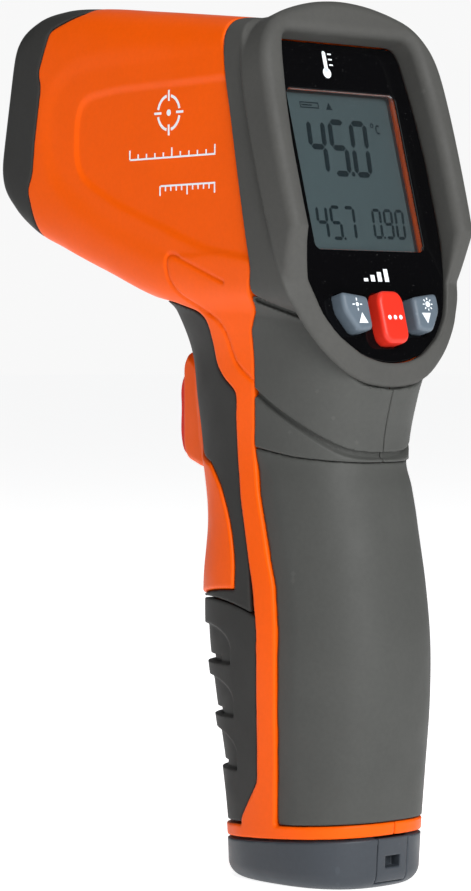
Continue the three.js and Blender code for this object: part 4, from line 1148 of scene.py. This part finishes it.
def digit_strokes(left, top, width, height, stroke, digit):
    """The lit segments of one leaning digit, as hexagons."""
    strokes = []
    for letter, ends in zip("abcdefg", SEGMENT_ENDS):
        if letter not in LIT[digit]:
            continue
        start, end = [np.array((left + x * width, top + y * height / 2)) for x, y in ends]
        ahead = (end - start) / np.linalg.norm(end - start)
        aside = np.array((-ahead[1], ahead[0])) * stroke / 2
        start, end = start + ahead * 0.12 * stroke, end - ahead * 0.12 * stroke
        tip = ahead * stroke / 2
        hexagon = [start, start + tip + aside, end - tip + aside, end, end - tip - aside, start + tip - aside]
        strokes.append([(x - (down - top) * SLANT + height * SLANT / 2, down) for x, down in hexagon])
    return strokes


def number_outlines():
    outlines = []
    for left, top, width, height, stroke, pitch, text in READOUTS:
        for character in text:
            if character == ".":
                middle = left - (pitch - width) / 2 - height * SLANT / 2
                outlines.append(disc(middle, top + height, stroke * 0.42, 8))
                continue
            outlines += digit_strokes(left, top, width, height, stroke, character)
            left += pitch
    return outlines


def unit_solids():
    """The degree ring and the open letter beside it."""
    x, down = DEGREE["x"], DEGREE["down"]
    ring = ring_solid(disc(x, down, DEGREE["outer"], 12), disc(x, down, DEGREE["inner"], 12), *SEGMENT_SPAN)
    turns = [math.radians(angle) for angle in range(50, 311, 20)]
    letter = []
    for (wide, tall), order in ((UNIT_LETTER["outer"], turns), (UNIT_LETTER["inner"], turns[::-1])):
        letter += [(UNIT_LETTER["x"] + wide * math.cos(turn), UNIT_LETTER["down"] + tall * math.sin(turn))
                   for turn in order]
    return [ring, raised(letter, *SEGMENT_SPAN)]


def make_readout():
    solids = [raised(outline, *SEGMENT_SPAN) for outline in number_outlines() + STATUS_ROW]
    dress(joined("lcd_segments", solids + unit_solids()), SEGMENT_INK)
    # Black border ring on the LCD cell: partly a real printed border, partly painted shade for the shadowed
    # gap at the cell's edge
    mask = ring_solid(rounded_outline(18.9, 12.7, 53.8, 0.3), rounded_outline(17.9, 13.3, 53.3, 1.2),
                      LCD_FACE - 0.05, LCD_FACE + 0.06)
    dress(joined("lcd_border_painted_shade", [mask]), MATERIALS["black_plastic"])
    pane = rounded_outline(WINDOW["half"] - 0.12, WINDOW["top"] + 0.12, WINDOW["bottom"] - 0.12, 1.7)
    dress(joined("display_pane", [raised(pane, -0.42, -0.08)]), MATERIALS["clear_window"],
          ["display_window"])


def make_display():
    piece("black_faceplate", faceplate, "display_faceplate", 0.3, 1.5, "black_gloss")
    slots = {"left": "grey_key", "mode": "red_key", "right": "grey_key"}
    for name, slot in slots.items():
        body = name + "_key"
        piece("key_" + name, key_cap(KEY_OUTLINES[name]), "button_" + name, 0.28, 1.0, slot, body=body)
        marks = [raised(outline, BUTTON_HEIGHT - 0.5, BUTTON_HEIGHT + PRINT_LIFT)
                 for outline in KEY_SYMBOLS[name]]
        dress(joined("key_symbols_" + name, marks), INK, (), body)
    make_readout()


# ---------------------------------------------------------------- printed pictograms
SIGHT = {"y": 27.0, "z": 189.0, "radius": 4.2, "stroke": 0.7, "gap": 12, "dot": 0.8}
SCALES = ((9.0, 42.0, 178.0, 3.3, 1), (9.0, 30.0, 171.0, 2.1, -1))  # rear, front, height, pitch, side
SCALE_STROKE = 0.22  # half width of the scales' strokes
TICKS = {"long": 2.4, "short": 1.3}
THERMOMETER = {"x": -3.5, "top": 3.4, "bulb": 8.4, "bulb_radius": 1.35, "half": 0.6}


def tick_scale(rear, front, height, pitch, side):
    """A printed scale on the flank: a line with ticks to one side of it, every fifth longer."""
    marks = [bar(rear, height - SCALE_STROKE, front, height + SCALE_STROKE)]
    for i in range(int((front - rear) / pitch) + 1):
        middle = rear + SCALE_STROKE + i * pitch
        end = height + side * TICKS["short" if i % 5 else "long"]
        marks.append(bar(middle - SCALE_STROKE, min(height, end), middle + SCALE_STROKE, max(height, end)))
    return marks


def flank_outlines():
    """A sight and two scales."""
    y, z, gap = SIGHT["y"], SIGHT["z"], SIGHT["gap"]
    outlines = [arc(y, z, SIGHT["radius"], SIGHT["stroke"], start + gap, start + 90 - gap)
                for start in range(0, 360, 90)]
    outlines += [disc(y, z, SIGHT["dot"]), *ray_marks(y, z, 2.9, 5.6, 4, 0.3)]
    for scale in SCALES:
        outlines += tick_scale(*scale)
    return outlines


def plate_outlines():
    """A thermometer above the display and four rising bars below it."""
    x, top, half = THERMOMETER["x"], THERMOMETER["top"], THERMOMETER["half"]
    outlines = [disc(x, THERMOMETER["bulb"], THERMOMETER["bulb_radius"]),
                bar(x - half, top, x + half, THERMOMETER["bulb"]), disc(x, top, half)]
    outlines += [bar(x + 1.3, down, x + 2.5, down + 0.35) for down in (3.3, 4.7, 6.1)]
    return outlines + [bar(-4.4 + 2.4 * i, 60.6 - 0.8 * i, -3.0 + 2.4 * i, 61.4) for i in range(4)]


def make_marks():
    solids = [slab(flank_loop(outline, -0.3), flank_loop(outline, 0.07)) for outline in flank_outlines()]
    dress(joined("flank_marks", solids), INK)
    solids = [raised(outline, -0.4, PRINT_LIFT) for outline in plate_outlines()]
    dress(joined("plate_marks", solids), INK)


# ---------------------------------------------------------------- battery
CELL = {"half": 13.2, "rear": -9.0, "front": 8.4, "bottom": 25.2, "top": 71.2}
STUD = {"x": 6.3, "radius": 2.9, "top": 73.8, "bowl_radius": 1.7, "bowl_depth": 1.6}


def battery(s):
    """A block cell in a rolled jacket: rounded corners, a seam at each end and two snap studs, one hollow."""
    side = rounded_box(s.x, s.y, CELL["half"], CELL["rear"], CELL["front"], 2.2)
    cell = meet(0.7, side, s.z - CELL["top"], CELL["bottom"] - s.z)
    for seam in (CELL["top"] - 2.0, CELL["bottom"] + 1.8):
        cell = carve(0.15, cell, both(np.abs(s.z - seam) - 0.3, -(side + 0.35)))
    from_stud = np.hypot(s.side - STUD["x"], s.y - (CELL["rear"] + CELL["front"]) / 2)
    stud = meet(0.4, from_stud - STUD["radius"], s.z - STUD["top"], CELL["top"] - 1 - s.z)
    bowl = both(from_stud - STUD["bowl_radius"], STUD["top"] - STUD["bowl_depth"] - s.z, -0.1 - s.x)
    return carve(0.2, either(cell, stud), bowl)


def make_battery():
    piece("block_battery", battery, "battery_9v", 0.5, 1.5, "battery_wrap")


# ---------------------------------------------------------------- trigger spring
SPRING = {"radius": 2.6, "wire": 0.5, "rear": 16.0, "front": 24.9, "turns": 5, "height": 114.3}
STEPS_PER_TURN = 16
WIRE_SIDES = 8


def make_spring():
    steps = SPRING["turns"] * STEPS_PER_TURN
    wire, height, sides = SPRING["wire"], SPRING["height"], WIRE_SIDES
    near, far = SPRING["rear"] + wire, SPRING["front"] - wire
    points = []
    for i in range(steps + 1):
        turn = 2 * math.pi * SPRING["turns"] * i / steps
        for k in range(sides):
            around = 2 * math.pi * k / sides
            reach = SPRING["radius"] + wire * math.cos(around)
            y = near + (far - near) * i / steps + wire * math.sin(around)
            points.append((reach * math.cos(turn) * MM, y * MM, (height + reach * math.sin(turn)) * MM))
    faces = [list(range(sides)), list(range(sides * (steps + 1) - 1, sides * steps - 1, -1))]
    for start in range(0, sides * steps, sides):
        faces += [[start + k, start + (k + 1) % sides, start + sides + (k + 1) % sides, start + sides + k]
                  for k in range(sides)]
    coil = joined("return_spring", [(points, faces)])
    spring = dress(coil, MATERIALS["steel"], ["trigger_spring"])
    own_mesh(spring)


# ---------------------------------------------------------------- pieces that keep their CAD shape
KEPT = {
    "steel": ["case_screw_top", "case_screw_nose", "case_screw_rear", "case_screw_foot",
              "thermopile_sensor", "door_hinge_pin", "base_screw_1", "base_screw_2"],
    "black_plastic": ["trigger_switch", "keypad_sheet", "key_switch_1", "key_switch_2", "key_switch_3",
                      "battery_snap", "buzzer", "lens_retaining_ring", "front_plate"],
    "barrel": ["lens_barrel"],
    "lens": ["ir_lens"],
    "board": ["sensor_board", "main_board"],
    "brass": ["laser_module"],
    "clear_window": ["laser_window"],
    "orange_shell": ["lcd_frame"],
    "lcd": ["lcd_glass"],
    "light_guide": ["backlight_panel"],
    "tray_plastic": ["battery_tray"],
}


def finish_kept_nodes():
    for slot, nodes in KEPT.items():
        for node in nodes:
            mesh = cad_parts[node].data
            mesh.materials.clear()
            mesh.materials.append(MATERIALS[slot])


# ---------------------------------------------------------------- camera, light and floor
CAMERA_PLACE = Vector((-0.5649, -0.5735, 0.127))
CAMERA_TURN = math.radians(43)
CAMERA_DIP = math.radians(1.43)
CAMERA_LENS = 131.7

ROOM_LIGHT = 0.08
FLOOR_GLOW = 0.86
BACKDROP = 0.94  # as bright as the far floor
STUDIO_LIGHTS = (
    ("key", (-0.35, -1.15, 0.75), (1.0, 1.0), 26),
    ("top", (0.0, 0.3, 1.5), (1.0, 1.0), 4),
    ("front", (0.7, 1.1, 0.5), (0.8, 0.8), 0.6),
)


def make_camera():
    data = bpy.data.cameras.new("camera")
    data.lens = CAMERA_LENS
    data.sensor_width = 36
    camera = bpy.data.objects.new("camera", data)
    level = math.cos(CAMERA_DIP)
    forward = Vector((math.sin(CAMERA_TURN) * level, math.cos(CAMERA_TURN) * level, -math.sin(CAMERA_DIP)))
    camera.location = CAMERA_PLACE
    camera.rotation_mode = "QUATERNION"
    camera.rotation_quaternion = forward.to_track_quat("-Z", "Y")
    bpy.context.scene.collection.objects.link(camera)
    bpy.context.scene.camera = camera


def area_light(name, place, size, power, target=(0, 0, 0.12)):
    data = bpy.data.lights.new(name, "AREA")
    data.shape = "RECTANGLE"
    data.size, data.size_y = size
    data.energy = power
    light = bpy.data.objects.new(name, data)
    light.location = place
    light.rotation_euler = (Vector(target) - Vector(place)).to_track_quat("-Z", "Y").to_euler()
    bpy.context.scene.collection.objects.link(light)


def make_studio():
    """A white cyclorama: even soft light, brightest from behind the camera's right shoulder."""
    world = bpy.data.worlds.new("studio")
    world.use_nodes = True
    tree = world.node_tree
    soft = tree.nodes["Background"]
    soft.inputs["Color"].default_value = (0.95, 0.97, 1.0, 1)
    soft.inputs["Strength"].default_value = ROOM_LIGHT
    seen = tree.nodes.new("ShaderNodeBackground")
    seen.inputs["Color"].default_value = (BACKDROP, BACKDROP, BACKDROP, 1)
    paths = tree.nodes.new("ShaderNodeLightPath")
    mix = tree.nodes.new("ShaderNodeMixShader")
    tree.links.new(paths.outputs["Is Camera Ray"], mix.inputs[0])
    tree.links.new(soft.outputs[0], mix.inputs[1])
    tree.links.new(seen.outputs[0], mix.inputs[2])
    tree.links.new(mix.outputs[0], tree.nodes["World Output"].inputs["Surface"])
    bpy.context.scene.world = world
    bpy.context.scene.view_settings.view_transform = "Standard"
    for name, place, size, power in STUDIO_LIGHTS:
        area_light(name, place, size, power)
    bpy.ops.mesh.primitive_plane_add(size=60, location=(0, 0, 0))
    floor = bpy.context.object
    floor.name = "floor"
    paper = Nodes("pale_paper")
    cloud = paper.noise(3, 3)
    paper.set(Base_Color=paper.blend(cloud, (0.9, 0.9, 0.9), (0.94, 0.94, 0.94)), Roughness=0.8,
              Specular_IOR_Level=0.1, Emission_Color=(1, 1, 1), Emission_Strength=FLOOR_GLOW)
    floor.data.materials.append(paper.material)


make_camera()
make_studio()
make_housing()
make_soft_pieces()
make_trigger()
make_door()
make_foot()
make_display()
make_marks()
make_battery()
make_spring()
finish_kept_nodes()
